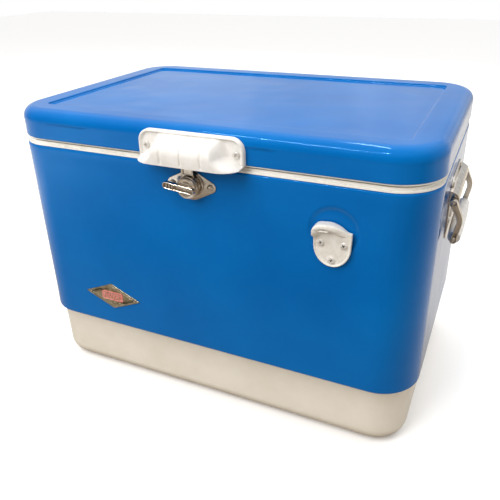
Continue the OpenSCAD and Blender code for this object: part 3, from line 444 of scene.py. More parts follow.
def chest_outline(length, width, radius, side_steps, corner_steps=14):
    """Points round the chest as (corner centre or side point, outward normal) pairs.

    side_steps gives the places along each half side where a column of points goes.
    """
    pairs = []
    for k in range(4):
        along_x = k % 2 == 0
        half = (length if along_x else width) / 2 - radius
        out = (width if along_x else length) / 2 - radius
        turn = Matrix.Rotation(radians(90 * k), 2)
        normal = turn @ Vector((0, -1))
        for place in side_steps(k, half):
            pairs.append((turn @ Vector((place, -out)), normal))
        centre = turn @ Vector((half, -out))
        for i in range(1, corner_steps):
            a = radians(-90 + 90 * i / corner_steps + 90 * k)
            pairs.append((centre, Vector((cos(a), sin(a)))))
    return pairs


def spread(half, gaps):
    """Places from -half to half, evenly spaced."""
    return [half * (2 * i / gaps - 1) for i in range(gaps + 1)]


def even_steps(long_gaps, short_gaps):
    """Evenly spread columns along the long and the short sides."""
    return lambda k, half: spread(half, short_gaps if k % 2 else long_gaps)


def sweep(pairs, profile, radius):
    """Rows of points, one row per profile point (reach past the outline, height)."""
    return [[(p.x + n.x * (radius + out), p.y + n.y * (radius + out), high) for p, n in pairs]
            for out, high in profile]


def ease(low, high, value):
    """Rises smoothly from 0 at low to 1 at high."""
    t = min(1.0, max(0.0, (value - low) / (high - low)))
    return t * t * (3 - 2 * t)


# ---- Screws ----

HEAD_R = 4.2
BIG_HEAD_R = 4.8
HEAD_H = 2.2
DOME = 0.8
RECESS_W, RECESS_R, RECESS_D = 0.62, 2.6, 2.1
METAL_UNDER_RECESS = 0.1


def screw_head(turn, radius, rings=18, sides=64):
    """A domed head with a cross recess pressed into it, turned by an angle in degrees."""
    rows = []
    for k in range(sides + 1):
        a = TAU * (k % sides) / sides
        row = [(radius * cos(a), radius * sin(a), 0.0)]
        for i in range(rings + 1):
            climb = pi / 2 * i / rings
            r = radius * cos(climb) if i else radius
            high = HEAD_H * sin(climb) ** DOME
            x = r * cos(a - radians(turn))
            y = r * sin(a - radians(turn))
            from_cross = min(abs(x), abs(y))
            depth = RECESS_D * (1 - ease(RECESS_W * 0.75, RECESS_W * 1.25, from_cross))
            depth *= 1 - ease(RECESS_R * 0.55, RECESS_R, r)
            row.append((r * cos(a), r * sin(a), max(METAL_UNDER_RECESS, high - depth)))
        rows.append(row)
    return Shape().grid(rows)


def shank(radius=2.0, length=4.0, into_head=0.2):
    """The pin behind a head."""
    return rod((0, 0, -length), (0, 0, into_head), radius, 16)


def screws(name, node, body, places, radius=HEAD_R):
    """A group of screw heads with short shanks; places are (frame, turn) pairs."""
    shape = Shape()
    for place, turn in places:
        shape.join(screw_head(turn, radius), place)
        shape.join(shank(), place)
    return piece(name, shape, "zinc", body, (node,))


# ---- Steel case ----

OPENER_X = middle_mm("bottle_opener", "x")
OPENER_LOW = node_mm("bottle_opener")[0].z
DISH_R = 33
DISH_Z = OPENER_LOW + 44
DISH_D = 2.5
DISH_SLOPE = 6.5
DISH_ZONE = 46
CASE_WAVE = 0.5


def sheet_wave(x, z, size=150, seed=3.7):
    """A shallow unevenness of rolled sheet, always inwards, 0 to 1."""
    return 0.5 + 0.5 * noise.noise(Vector((x / size, z / size, seed)))


def case_steps(k, half):
    """Columns of points: about every 12 mm, and every 2 mm over the dish on the front."""
    fine_gap = 2
    coarse = spread(half, 40)
    if k != 0:
        return coarse
    fine = [OPENER_X - DISH_ZONE + fine_gap * i for i in range(2 * DISH_ZONE // fine_gap + 1)]
    return sorted([c for c in coarse if abs(c - OPENER_X) > DISH_ZONE + 1] + fine)


def build_case():
    """The steel wrap: a rolled top edge, a hem, a flange at each, and the dish in the front."""
    roll, hem, low_flange, top_flange = 4.0, 1.6, 16, 18
    wall = [BASE_H + hem + 5 + 8 * i for i in range(21)]
    wall += [DISH_Z - DISH_ZONE + 2.5 * i for i in range(38)]
    wall = sorted(z for z in wall if z < CASE_TOP - roll - 1)
    profile = [(-low_flange, BASE_H), (-hem - 2, BASE_H)] + arc((-hem, BASE_H + hem), hem, -90, 0, 6)
    profile += [(0, z) for z in wall] + arc((-roll, CASE_TOP - roll), roll, 0, 90, 8)
    profile += [(-top_flange / 2, CASE_TOP), (-top_flange, CASE_TOP)]
    pairs = chest_outline(CASE_L, CASE_W, CASE_R, case_steps)
    rows = sweep(pairs, profile, CASE_R)
    for row in rows:
        for i, (x, y, z) in enumerate(row):
            if not BASE_H + hem < z < CASE_TOP - roll:
                continue
            flat = ease(0, 30, z - BASE_H) * ease(0, 22, CASE_TOP - roll - z)
            inward = CASE_WAVE * flat * sheet_wave(x + y, z)
            if y < FRONT + 1:
                away = hypot(x - OPENER_X, z - DISH_Z)
                inward += DISH_D * (1 - ease(DISH_R - DISH_SLOPE, DISH_R, away))
            normal = pairs[i][1]
            row[i] = (x - normal.x * inward, y - normal.y * inward, z)
    piece("case_skin", Shape().grid(rows, wrap=True), "blue_enamel", "chest", ("outer_case",),
          smooth=60, thick=CASE_T)


# ---- Base pan ----

PAN_INSET, PAN_TAPER, PAN_EDGE_R, PAN_WALL = 7, 2, 25, 3.2
DRAIN_Z = middle_mm("drain_nut", "z")


def build_base():
    """The moulded pan: foot, stepped wall, rim, inner face, floor and the drain's collar."""
    top, foot = -PAN_INSET, -PAN_INSET - PAN_TAPER
    turn_in = foot - PAN_EDGE_R
    floor_start, floor_end = turn_in - 18, -CASE_R + 1
    rim_r, rim_in, seat = 1.2, 23, BASE_H - PAN_WALL
    profile = [(floor_start, 0.0)] + arc((turn_in, PAN_EDGE_R), PAN_EDGE_R, -90, 0, 14)
    for share, z in ((0.0, PAN_EDGE_R + 8), (0.2, PAN_EDGE_R + 30), (0.25, 72), (0.6, 75.5), (0.65, 84),
                     (1.0, 86)):
        profile.append((foot + PAN_TAPER * share, z))
    profile += [(top - 0.1, BASE_H - 5)] + arc((top - rim_r, BASE_H - rim_r), rim_r, 0, 90, 4)
    profile += [(2 * top, BASE_H), (-rim_in, BASE_H), (-rim_in, seat), (top - PAN_WALL, seat)]
    profile += [(foot - PAN_WALL, PAN_EDGE_R + 4)]
    profile += arc((turn_in, PAN_EDGE_R), PAN_EDGE_R - PAN_WALL, 0, -90, 8) + [(floor_start, PAN_WALL)]
    pairs = chest_outline(CASE_L, CASE_W, CASE_R, even_steps(40, 26), 18)
    shape = Shape().grid(sweep(pairs, profile, CASE_R), wrap=True)
    for level, flip in ((0.0, True), (PAN_WALL, False)):
        shape.face(sweep(pairs, [(floor_end, level)], CASE_R)[0], flip)
    bore, collar_r, collar_face, back = 11.4, 18, -7.2, -16
    collar = lathe([(bore, back), (bore, collar_face), (collar_r - 1, collar_face),
                    (collar_r, collar_face - 0.6), (collar_r, back), (bore, back)])
    shape.join(collar, end_frame(-1, 0, DRAIN_Z))
    return piece("base_moulding", shape, "ivory_plastic", "chest", ("base_pan",), smooth=40)


# ---- Lid ----

PANEL_L = LID_L - 2 * 43
PANEL_W = LID_W - 2 * 41
PANEL_R = 7.0
PANEL_STEP = 3.0
LID_EDGE_R = 17
LID_WAVE = 0.35
STEEL_T = 0.8


def panel_ring(panel, out, high):
    """The recessed panel's outline, moved outwards, at one height."""
    return [Vector((p.x + n.x * (PANEL_R + out), p.y + n.y * (PANEL_R + out), high)) for p, n in panel]


def build_lid():
    """The lid's steel: hem, skirt, rounded shoulder, stepped border and the sunk top panel."""
    hem = 1.2
    profile = [(-9, LID_LOW), (-hem - 1, LID_LOW)] + arc((-hem, LID_LOW + hem), hem, -90, 0, 5)
    profile += [(0, LID_LOW + 2.5 + 3.4 * i) for i in range(7)]
    profile += arc((-LID_EDGE_R, LID_TOP - LID_EDGE_R), LID_EDGE_R, 0, 90, 18)
    pairs = chest_outline(LID_L, LID_W, LID_R, even_steps(44, 24), 16)
    rows = sweep(pairs, profile, LID_R)
    for row in rows:
        for i, (x, y, z) in enumerate(row):
            flat = ease(LID_LOW + 2, LID_LOW + 12, z) * (z < LID_TOP - LID_EDGE_R)
            inward = LID_WAVE * flat * sheet_wave(x + 0.7 * y, z, 120, 8.1)
            row[i] = (x - pairs[i][1].x * inward, y - pairs[i][1].y * inward, z)
    panel = chest_outline(PANEL_L, PANEL_W, PANEL_R, even_steps(44, 24), 16)
    edge = [Vector(p) for p in rows[-1]]
    brow = panel_ring(panel, 3.2, LID_TOP)
    rows += [[a.lerp(b, share) for a, b in zip(edge, brow)] for share in (0.25, 0.5, 0.75)]
    rows.append(brow)
    floor, fillet = LID_TOP - PANEL_STEP, PANEL_STEP / 2
    for a in quarter(6):
        rows.append(panel_ring(panel, 2.8 - 1.9 * sin(a), LID_TOP - fillet * (1 - cos(a))))
    for a in quarter(6):
        rows.append(panel_ring(panel, 0.9 - 2.4 * (1 - cos(a)), floor + fillet * (1 - sin(a))))
    spine, rings = PANEL_L / 2 - PANEL_W / 2, 24
    last = rows[-1]
    targets = [Vector((max(-spine, min(spine, p[0])), 0, floor)) for p in last]
    for i in range(1, rings + 1):
        share = i / rings
        ring = []
        for start, target in zip(last, targets):
            point = start.lerp(target, share)
            wave = noise.noise(Vector((point.x / 170, point.y / 120, 2.2)))
            wave += 0.35 * noise.noise(Vector((point.x / 60, point.y / 45, 5.1)))
            sag = LID_WAVE * ease(0, 0.2, share) * (1 + wave)
            ring.append(Vector((point.x, point.y, floor - sag)))
        rows.append(ring)
    piece("lid_skin", Shape().grid(rows, wrap=True), "blue_enamel", "lid", ("lid_shell",),
          smooth=50, thick=STEEL_T)


def build_lid_liner():
    """The lid's inner pan: an outer lip, the plug and a pressed field on its face."""
    low, high = node_mm("lid_liner")
    lip_low, depth = high.z - 2.0, low.z
    plug_l, plug_w, plug_r, spine = 518, 308, 33, 105
    pairs = chest_outline(CASE_L, CASE_W, CASE_R, even_steps(30, 20), 12)
    lip = [(-1.0 - 0.9 * (1 - cos(a)), lip_low + 1 + sin(a))
           for a in [radians(90 - 15 * i) for i in range(13)]]
    rows = [[Vector(p) for p in row] for row in sweep(pairs, [(-30, high.z)] + lip, CASE_R)]
    plug = chest_outline(plug_l, plug_w, plug_r, even_steps(30, 20), 12)
    wall = [(4, lip_low), (1.2, lip_low - 0.3), (0.2, lip_low - 2)] + arc((-6, depth + 6), 6, 0, -90, 8)
    field = [(-22, depth), (-24, depth + 0.4), (-26, depth + 1.6), (-28, depth + 2)]
    rows += [[Vector(p) for p in row] for row in sweep(plug, wall + field, plug_r)]
    edge = rows[-1]
    centre = [Vector((max(-spine, min(spine, p[0])), 0, depth + 2)) for p in edge]
    rows += [[a.lerp(b, share) for a, b in zip(edge, centre)] for share in (0.4, 0.8, 1.0)]
    piece("lid_inner_pan", Shape().grid(rows, wrap=True), "liner_plastic", "lid", ("lid_liner",),
          smooth=45)


def build_gasket():
    """A round-sided seal in one closed loop."""
    low, high = node_mm("lid_gasket")
    half_w, half_h = 4.0, (high.z - low.z) / 2
    mid = high.x - CASE_L / 2 - half_w
    ring = [TAU * i / 20 for i in range(21)]
    profile = [(mid + half_w * cos(a), high.z - half_h + half_h * sin(a)) for a in ring]
    pairs = chest_outline(CASE_L, CASE_W, CASE_R, even_steps(30, 20), 12)
    piece("lid_seal", Shape().grid(sweep(pairs, profile, CASE_R), wrap=True), "seal_rubber", "lid",
          ("lid_gasket",), smooth=60)


# ---- Lid handle ----

handle_low, handle_high = node_mm("lid_handle")
GRIP_X = (handle_low.x + handle_high.x) / 2
GRIP_HALF = (handle_high.x - handle_low.x) / 2
GRIP_H = handle_high.z - handle_low.z
GRIP_REACH = SKIRT - handle_low.y
GRIP_PLATE = 4.0
GRIP_RIM = 7.0
GRIP_WALL = 4.0
GRIP_TOP_R, GRIP_FOOT_R = 17.0, 5.0
GRIP_GROOVES = (-28, 0, 28)
GRIP_SCREW_X, GRIP_SCREW_Z = 63, 16


def grip_side(v):
    """How far the hood stands out at a height v above its lower edge."""
    nose, crown, base = 13.0, 33.0, GRIP_PLATE + 1.0
    if v <= nose:
        return GRIP_REACH - 0.9 * ((nose - v) / nose) ** 2
    t = min(1.0, (v - nose) / (crown - nose))
    return base + (GRIP_REACH - base) * sqrt(max(0.0, 1 - t * t))


def grip_surface(u, v, edge):
    """The handle's outer face; edge is the distance from the plate's outline."""
    low = 1 - min(1.0, v / 34)
    lip = ease(0.55, 1.0, low)
    full = 33 + 11 * low + 2 * lip
    fall = 13 + 5 * low + 9 * lip
    reach = min(1.0, max(0.0, (abs(u) - full) / fall))
    shoulder = (1 - lip) * (1 - ease(0, 1, reach)) + lip * sqrt(1 - reach ** 2)
    rim = GRIP_PLATE + (GRIP_RIM - GRIP_PLATE) * (1 - ease(2.4, 4.4, edge))
    rim -= 1.6 * (1 - ease(0.0, 1.6, edge)) ** 2
    high = rim + (max(rim, grip_side(v)) - rim) * shoulder
    for groove in GRIP_GROOVES:
        cut = 1.5 * (1 - ease(0.3, 1.5, abs(u - groove))) * ease(1, 4, v) * shoulder
        high -= cut * (1 - ease(27, 31, v))
    return high


def corner_rise(from_end, radius):
    """How far a rounded corner has drawn in, at a distance from the plate's end."""
    return radius - sqrt(radius ** 2 - max(0.0, radius - from_end) ** 2)


def build_lid_handle():
    """The hooded handle, open underneath: columns of points up its face and down its back."""
    columns, steps = 118, 46
    rows = []
    for c in range(columns + 1):
        u = -GRIP_HALF + 2 * GRIP_HALF * c / columns
        from_end = GRIP_HALF - abs(u)
        bottom = corner_rise(from_end, GRIP_FOOT_R)
        top = GRIP_H - corner_rise(from_end, GRIP_TOP_R)
        face, back = [], []
        for r in range(steps + 1):
            v = bottom + (top - bottom) * r / steps
            corner, rise = max(0.0, GRIP_TOP_R - from_end), max(0.0, v - (GRIP_H - GRIP_TOP_R))
            edge = GRIP_TOP_R - hypot(corner, rise) if corner and rise else min(from_end, GRIP_H - v)
            high = grip_surface(u, v, max(0.0, edge))
            face.append((u, v, high))
            back.append((u, v, high - GRIP_WALL if high > GRIP_RIM + 1 else 0.0))
        rows.append(face + back[::-1])
    place = front_frame(GRIP_X, handle_low.z, SKIRT)
    piece("lid_grip", Shape().grid(rows, wrap=True, cap=True).moved(place), "handle_plastic", "lid",
          ("lid_handle",), smooth=55)
    seat = SKIRT - GRIP_PLATE - 0.3
    screws("lid_grip_screws", "lid_handle_screws", "lid",
           [(front_frame(GRIP_X + s * GRIP_SCREW_X, handle_low.z + GRIP_SCREW_Z, seat), turn)
            for s, turn in ((-1, 12), (1, 62))], BIG_HEAD_R)


# ---- Latch ----

LATCH_Z = middle_mm("latch_plate", "z")
LATCH_SCREW_X = 27.3
PLATE_T = 1.2
CAM_IN, CAM_OUT, CAM_R = 8.7, 12.7, 15.0
CAM_WEB = 11.5
CAP_OUT = 15.2
LEVER_LEAN = -6.0
LEVER_TIP, LEVER_ROOT, LEVER_HALF = -31.0, 14.0, 4.5
LEVER_H, LEVER_WALL = 6.0, 1.5


def build_latch():
    """The almond plate with its pressed ring and rivets, the boss, the cam disc and the lever."""
    place = front_frame(0, LATCH_Z)
    plate = slab(stadium(LATCH_SCREW_X, 20, 7.5), 0, PLATE_T, 0.5)
    ridge = lathe([(13.4, 1.1), (14.2, 1.9), (15.4, 2.2), (16.6, 1.9), (17.4, 1.1)])
    piece("latch_backplate", plate.join(ridge).moved(place), "nickel", "chest", ("latch_plate",))
    shape = Shape()
    head = lathe([(4.2, 0), (4.2, 0.5), (3.9, 1.3), (3.0, 1.9), (1.6, 2.15), (0, 2.2)]).join(shank())
    for s in (-1, 1):
        shape.join(head, front_frame(s * LATCH_SCREW_X, LATCH_Z, FRONT - PLATE_T))
    piece("latch_plate_rivets", shape, "nickel", "chest", ("latch_plate_screws",))
    boss = lathe([(4.1, PLATE_T), (12.5, PLATE_T), (12.5, 2.2), (11.8, 2.6), (11.8, 3.4), (12.5, 3.8),
                  (12.5, 5.7), (12.0, 6.2), (9, 6.2), (4.1, 6.2), (4.1, PLATE_T)], 64)
    piece("latch_boss_ring", boss.moved(place), "nickel", "chest", ("latch_boss",))
    build_cam(place)
    build_lever(place)


def build_cam(place):
    """A disc with a notch and a hidden arc groove that takes the strike's hook."""
    bore, groove_in, groove_out, notch, edge = 4, 8.0, 12.07, 4.5, 0.3
    shape = lathe([(bore, CAM_WEB), (bore, CAM_OUT), (13.6, CAM_OUT), (14.4, 12.4), (CAM_R, 11.9),
                   (CAM_R, CAM_WEB), (groove_out, CAM_WEB), (bore, CAM_WEB)], 72)
    shape.join(lathe([(bore, CAM_IN), (groove_in - edge, CAM_IN), (groove_in, CAM_IN + edge),
                      (groove_in, CAM_WEB), (bore, CAM_WEB), (bore, CAM_IN)], 48))
    start = degrees(asin(notch / groove_out))
    wall = [(groove_out, CAM_IN + edge), (groove_out + edge, CAM_IN), (CAM_R - 0.5, CAM_IN),
            (CAM_R, CAM_IN + 0.5), (CAM_R, CAM_WEB), (groove_out, CAM_WEB)]
    around = arc((0, 0), 1, 90 + start, 450 - start, 60)
    shape.grid([[(r * x, r * y, h) for r, h in wall] for x, y in around], wrap=True, cap=True)
    piece("latch_cam_disc", shape.moved(place), "nickel", "turn_latch", ("latch_cam",))


def build_lever(place):
    """The cap disc and the channel-shaped lever, with finger ribs at its tip."""
    shape = lathe([(0, CAM_OUT), (12.9, CAM_OUT), (14, 13.3), (14, 14.4), (13.2, CAP_OUT), (11.2, CAP_OUT),
                   (10.6, 14.9), (9.6, 14.9), (9.0, CAP_OUT), (0, CAP_OUT)], 72)
    floor = CAP_OUT + LEVER_WALL
    top, foot = CAP_OUT + LEVER_H, floor - 0.1
    shape.join(lathe([(0, foot), (2.7, foot), (3.0, floor + 0.4), (2.6, floor + 0.9), (0, floor + 1.0)], 32))
    outline = box_outline((LEVER_ROOT - LEVER_TIP) / 2, LEVER_HALF, LEVER_HALF, 12,
                          ((LEVER_ROOT + LEVER_TIP) / 2, 0))
    edge = 0.4
    levels = ((0, CAP_OUT), (0, top - edge), (edge, top), (LEVER_WALL - edge, top),
              (LEVER_WALL, top - edge), (LEVER_WALL, floor))
    shape.join(stepped(outline, levels))
    for i in range(3):
        rib = box_outline(0.8, LEVER_HALF - 0.9, 0.5, 3, (LEVER_TIP + 6.2 + 4.2 * i, 0))
        shape.join(slab(rib, foot, top - 0.2, 0.5))
    lean = Matrix.Rotation(radians(LEVER_LEAN), 4, "Z")
    piece("latch_lever_arm", shape.moved(place @ lean), "nickel", "turn_latch",
          ("latch_lever", "latch_spindle"))


def plain_box(x_low, x_high, y_low, y_high, low, high, edge):
    """A flat bar with a rounded upper edge."""
    corners = ((x_low, y_low), (x_high, y_low), (x_high, y_high), (x_low, y_high))
    return slab(corners, low, high, edge)


def build_strike():
    """The strike that hangs from the lid: a leaf, a shelf, a tab with turned-up sides and a hook."""
    t, half, tab = 1.5, 8.0, 6.7
    low, high = node_mm("strike")
    shelf, foot = LID_LOW + 2 - LATCH_Z, 9
    path = [Vector(p) for p in ((0.0, high.z - LATCH_Z), (0.0, shelf + 1.2), (0.9, shelf + 0.2),
                                (tab - 1.5, shelf), (tab - 0.5, shelf - 0.6), (tab, shelf - 2), (tab, foot))]
    columns = (-half, -half / 2, 0, half / 2, half)
    rows = []
    for i, p in enumerate(path):
        run = (path[min(len(path) - 1, i + 1)] - path[max(0, i - 1)]).normalized()
        q = p + Vector((-run.y, run.x)) * t
        rows.append([(x, p.y, p.x) for x in columns] + [(-x, q.y, q.x) for x in columns])
    shape = Shape().grid(rows, wrap=True, cap=True)
    for x in (-half, half - t):
        # given from right to left, so the upper edge flares a little instead of rounding off
        shape.join(plain_box(x + t, x, 16.5, 30, tab, tab + t + 1.6, 0.4))
    shape.join(plain_box(-half, half, 15.4, 16.9, tab, tab + t + 1.0, 0.4))
    shape.join(plain_box(-3.5, 3.5, foot, foot + t, tab, FRONT - low.y, 0.3))
    piece("latch_strike", shape.moved(front_frame(0, LATCH_Z)), "nickel", "lid", ("strike",))
    screws("latch_strike_screws", "strike_screws", "lid",
           [(front_frame(x, LID_LOW + 9, SKIRT - t), 8 * x) for x in (-5, 5)])


# ---- Bottle opener ----

OPENER_HALF = 23.5
OPENER_CROWN = node_mm("bottle_opener")[1].z - OPENER_LOW
OPENER_SHOULDER = 47
OPENER_ARCH_R, OPENER_LEAN = 30.0, 5.0
OPENER_U_H, OPENER_U_SHARE = 27, 0.975
OPENER_TURN_X = -12
OPENER_BOSS = 3.5
OPENER_SCREWS = ((-14, 30), (14, 30), (0, 8.5))


def opener_outline():
    """The opener's front view: a deep U below, a crown that leans left above."""
    half, corner_x = OPENER_HALF, OPENER_HALF - 1.4
    flank = [(half * (OPENER_U_SHARE + (1 - OPENER_U_SHARE) * ease(27, 40, v)), v)
             for v in (31, 35, 38, 41, 44)]
    points = [(half * OPENER_U_SHARE * x, OPENER_U_H * (1 + y)) for x, y in arc((0, 0), 1, 180, 360, 96)]
    points += flank + [(half, OPENER_SHOULDER - 1), (half - 0.5, OPENER_SHOULDER - 0.3),
                       (corner_x, OPENER_SHOULDER)]
    steps, blend = 34, 1.6
    for i in range(1, steps):
        x = corner_x + (OPENER_TURN_X - corner_x) * i / steps
        side = min(OPENER_ARCH_R, abs(x + OPENER_LEAN))
        arch = OPENER_CROWN - OPENER_ARCH_R + sqrt(OPENER_ARCH_R ** 2 - side ** 2)
        above = log1p(exp((arch - OPENER_SHOULDER) / blend)) * blend
        points.append((x, OPENER_SHOULDER + above * min(1.0, i / 4)))
    foot = OPENER_SHOULDER - 1
    rise = points[-1][1] - foot
    for x, y in arc((0, 0), 1, 90, 180, 20)[1:-1]:
        points.append((OPENER_TURN_X + (half + OPENER_TURN_X) * x, foot + rise * y ** 0.9))
    return [Vector(p) for p in points + [(-w, v) for w, v in reversed(flank)]]


def opener_rim(u, v):
    """How far the rim stands out: low round the U, a deep hood at the crown's left."""
    hood = ease(35, 43, v) * (1 - ease(-6, 21, u))
    return 4.6 + (9.2 - 2.0 * ease(50, OPENER_CROWN, v)) * hood


def opener_face(u, v, edge):
    """The face between the rim and the middle: a cup under the hood, flat bosses at the screws."""
    rim = opener_rim(u, v)
    cup = 3.2 + 1.6 * ease(24, 46, v)
    wide = 3.2 + 15.0 * ease(34, 50, v)
    high = cup + (rim - cup) * (1 - ease(1.2, wide, edge))
    tooth = 1 - ease(0.7, 1.8, hypot((u + 9) / 4.6, (v - 46.8) / 1.2))
    slot = 1 - ease(0.6, 1.6, hypot((u + 8) / 3.6, (v - 49.8) / 0.9))
    high += 2.6 * tooth - 3.5 * slot
    for x, y in OPENER_SCREWS:
        away = hypot(u - x, v - y)
        share = 1 - ease(5.2, 6.6, away)
        high = high * (1 - share) + OPENER_BOSS * share
    return high


def build_opener():
    """The cast opener: its rim, then rings of points that draw in to the middle of its face."""
    outline, middle, levels = opener_outline(), Vector((0, 31)), 40
    rows = [[(p.x * 0.99, p.y, 0.0) for p in outline]]
    for lift, draw in ((0.3, 0.0), (0.7, 0.0), (0.88, 0.15), (0.97, 0.5), (1.0, 1.0)):
        ring = inset_outline(outline, draw)
        rows.append([(q.x, q.y, opener_rim(p.x, p.y) * lift) for p, q in zip(outline, ring)])
    for i in range(1, levels + 1):
        share = 0.05 + 0.95 * (i / levels) ** 1.15
        row = []
        for p in outline:
            q = p.lerp(middle, share)
            edge = min((p - q).length, OPENER_HALF + 0.2 - abs(q.x))
            row.append((q.x, q.y, opener_face(q.x, q.y, max(edge, 1.0))))
        rows.append(row)
    shape = Shape().grid(rows, wrap=True)
    shape.face(rows[0], True)
    piece("opener_plate", shape.moved(front_frame(OPENER_X, OPENER_LOW)), "opener_enamel", "chest",
          ("bottle_opener",), smooth=50)
    screws("opener_plate_screws", "opener_screws", "chest",
           [(front_frame(OPENER_X + x, OPENER_LOW + y, FRONT - OPENER_BOSS + 0.2), 35 * i)
            for i, (x, y) in enumerate(OPENER_SCREWS)], BIG_HEAD_R)


# ---- Badge ----

BADGE_RIM, BADGE_FIELD = 1.4, 0.8
PLAQUE_HALF_X, PLAQUE_HALF_Z, PLAQUE_R = 19, 7.5, 3


def build_badge():
    """The diamond plate: a raised rim, a bead, plain ribs towards its tips and two rivets."""
    low, high = node_mm("badge_plate")
    half_l, half_h = (high.x - low.x) / 2, (high.z - low.z) / 2
    place = front_frame((low.x + high.x) / 2, (low.z + high.z) / 2)
    tips = [Vector(p) for p in ((-half_l, 0), (0, -half_h), (half_l, 0), (0, half_h))]
    outline = []
    for a, b in zip(tips, tips[1:] + tips[:1]):
        outline += [a.lerp(b, s) for s in (0.02, 0.25, 0.5, 0.75, 0.98)]
    field, bead = BADGE_FIELD, BADGE_FIELD + 0.3
    levels = ((0, 0), (0, 1.0), (0.3, 1.35), (0.7, BADGE_RIM), (1.7, BADGE_RIM), (2.2, bead), (2.8, field),
              (4.2, field), (4.5, bead), (5.0, bead), (5.3, field), (6.5, field))
    shape = stepped(outline, levels)
    for s in (-1, 1):
        for i in range(4):
            x = s * (22.5 + 2.6 * i)
            tall = (half_l - abs(x)) / half_l * half_h - 5.4
            shape.join(slab(box_outline(0.5, max(1.0, tall), 0.3, 2, (x, 0)), field - 0.1, 1.2, 0.2))
        for i in range(3):
            y = s * (9.4 + 1.5 * i)
            wide = (half_h - abs(y)) / half_h * half_l - 12
            shape.join(slab(box_outline(max(1.5, wide), 0.35, 0.3, 2, (0, y)), field - 0.1, 1.15, 0.2))
    piece("badge_diamond", shape.moved(place), "badge_metal", "chest", ("badge_plate",), smooth=30)
    build_plaque(place)
    head = lathe([(2.0, 0), (2.0, 0.3), (1.5, 0.85), (0.8, 1.05), (0, 1.1)], 32).join(shank(1.2, 3, 0.1))
    rivets = Shape()
    for s in (-1, 1):
        rivets.join(head, place @ Matrix.Translation((s * (half_l - 9), 0, BADGE_RIM)))
    piece("badge_rivet_heads", rivets, "nickel", "chest", ("badge_rivets",))


def build_plaque(place):
    """The red centre: a raised frame round a field of plain slanted bars."""
    field = 1.2
    shape = slab(box_outline(PLAQUE_HALF_X, PLAQUE_HALF_Z, PLAQUE_R, 8), BADGE_FIELD, field + 0.05, 0.25)
    rows = []
    for inset, high in ((0, field), (0.2, 1.65), (1.1, 1.65), (1.4, field)):
        ring = box_outline(PLAQUE_HALF_X - inset, PLAQUE_HALF_Z - inset, PLAQUE_R - inset, 8)
        rows.append([(p[0], p[1], high) for p in ring])
    shape.join(Shape().grid(rows, wrap=True))
    piece("badge_plaque_red", shape.moved(place), "badge_red", "chest", ("badge_plaque",), smooth=30)
    bars = Shape()
    slant, thick, half_h = 2.6, 1.2, 3.9
    for i in range(7):
        x = 4.4 * (i - 3) - (slant + thick) / 2
        bar = ((x, -half_h), (x + thick, -half_h), (x + slant + thick, half_h), (x + slant, half_h))
        bars.join(slab(bar, field, 1.6, 0.2))
    for s in (-1, 1):
        bars.join(slab(box_outline(15.6, 0.3, 0.2, 2, (0, s * 5.0)), field, 1.55, 0.15))
    piece("badge_plaque_bars", bars.moved(place), "badge_metal", "chest", smooth=30)


# ---- Carrying handles ----

BRACKET_T, BRACKET_HALF, BRACKET_R = 1.5, 52, 17
BRACKET_SCREW_Y, BRACKET_SCREW_DROPS = 42, (8, 60)
BAR_OUT, BAR_R = 6.5, 6.0
BAR_HALF = node_mm("bracket_right")[1].y
WRAP_RISE = 12.0
grip_low, grip_high = node_mm("grip_right")
GRIP_OUT = (grip_low.x + grip_high.x) / 2 - END
GRIP_Z = (grip_low.z + grip_high.z) / 2
PIVOT_Z = 326.0
KNEE = (18.0, PIVOT_Z - 22)
ARM_W, ARM_WALL = 10.0, 1.6


def build_bracket(side, tag):
    """The wall plate, and the sheet that wraps over the pivot rod in one curve."""
    low, high = node_mm("bracket_" + tag)
    mid, half_h = (low.z + high.z) / 2, (high.z - low.z) / 2
    outline = [(x, y + mid) for x, y in box_outline(BRACKET_HALF, half_h, BRACKET_R, 10)]
    shape = slab(outline, 0, BRACKET_T, 0.5)
    wrap = [(0.1, PIVOT_Z + WRAP_RISE)]
    for x, y in arc((0, 0), 1, 90, 0, 16)[1:]:
        wrap.append((0.6 + (BAR_OUT + BAR_R - 0.6) * x, PIVOT_Z + WRAP_RISE * y))
    wrap += arc((BAR_OUT, PIVOT_Z), BAR_R, -6, -90, 12) + [(0.1, PIVOT_Z - BAR_R)]
    edge, draw = 0.5, 0.3
    rows = []
    for x, shrink in ((-BAR_HALF, draw), (edge - BAR_HALF, 0), (BAR_HALF - edge, 0), (BAR_HALF, draw)):
        rows.append([(x, v - shrink * (1 if v > PIVOT_Z else -1), w - shrink * (w > 1)) for w, v in wrap])
    shape.join(Shape().grid(rows, wrap=True, cap=True))
    ring = lathe([(3.3, 0), (4.6, 0), (4.6, 0.35), (3.3, 0.35), (3.3, 0)], 32)
    for s in (-1, 1):
        turn = cross_frame(s, s * BAR_HALF, PIVOT_Z, BAR_OUT)
        shape.join(ring, turn @ Matrix.Translation((0, 0, -0.3)))
    piece("side_bracket_" + tag, shape.moved(end_frame(side, 0, 0)), "nickel", "chest",
          ("bracket_" + tag,), smooth=35)
    screws("side_bracket_screws_" + tag, "bracket_screws_" + tag, "chest",
           [(end_frame(side, s * BRACKET_SCREW_Y, high.z - drop, END + BRACKET_T), 25 * i + 40 * s)
            for s in (-1, 1) for i, drop in enumerate(BRACKET_SCREW_DROPS)])


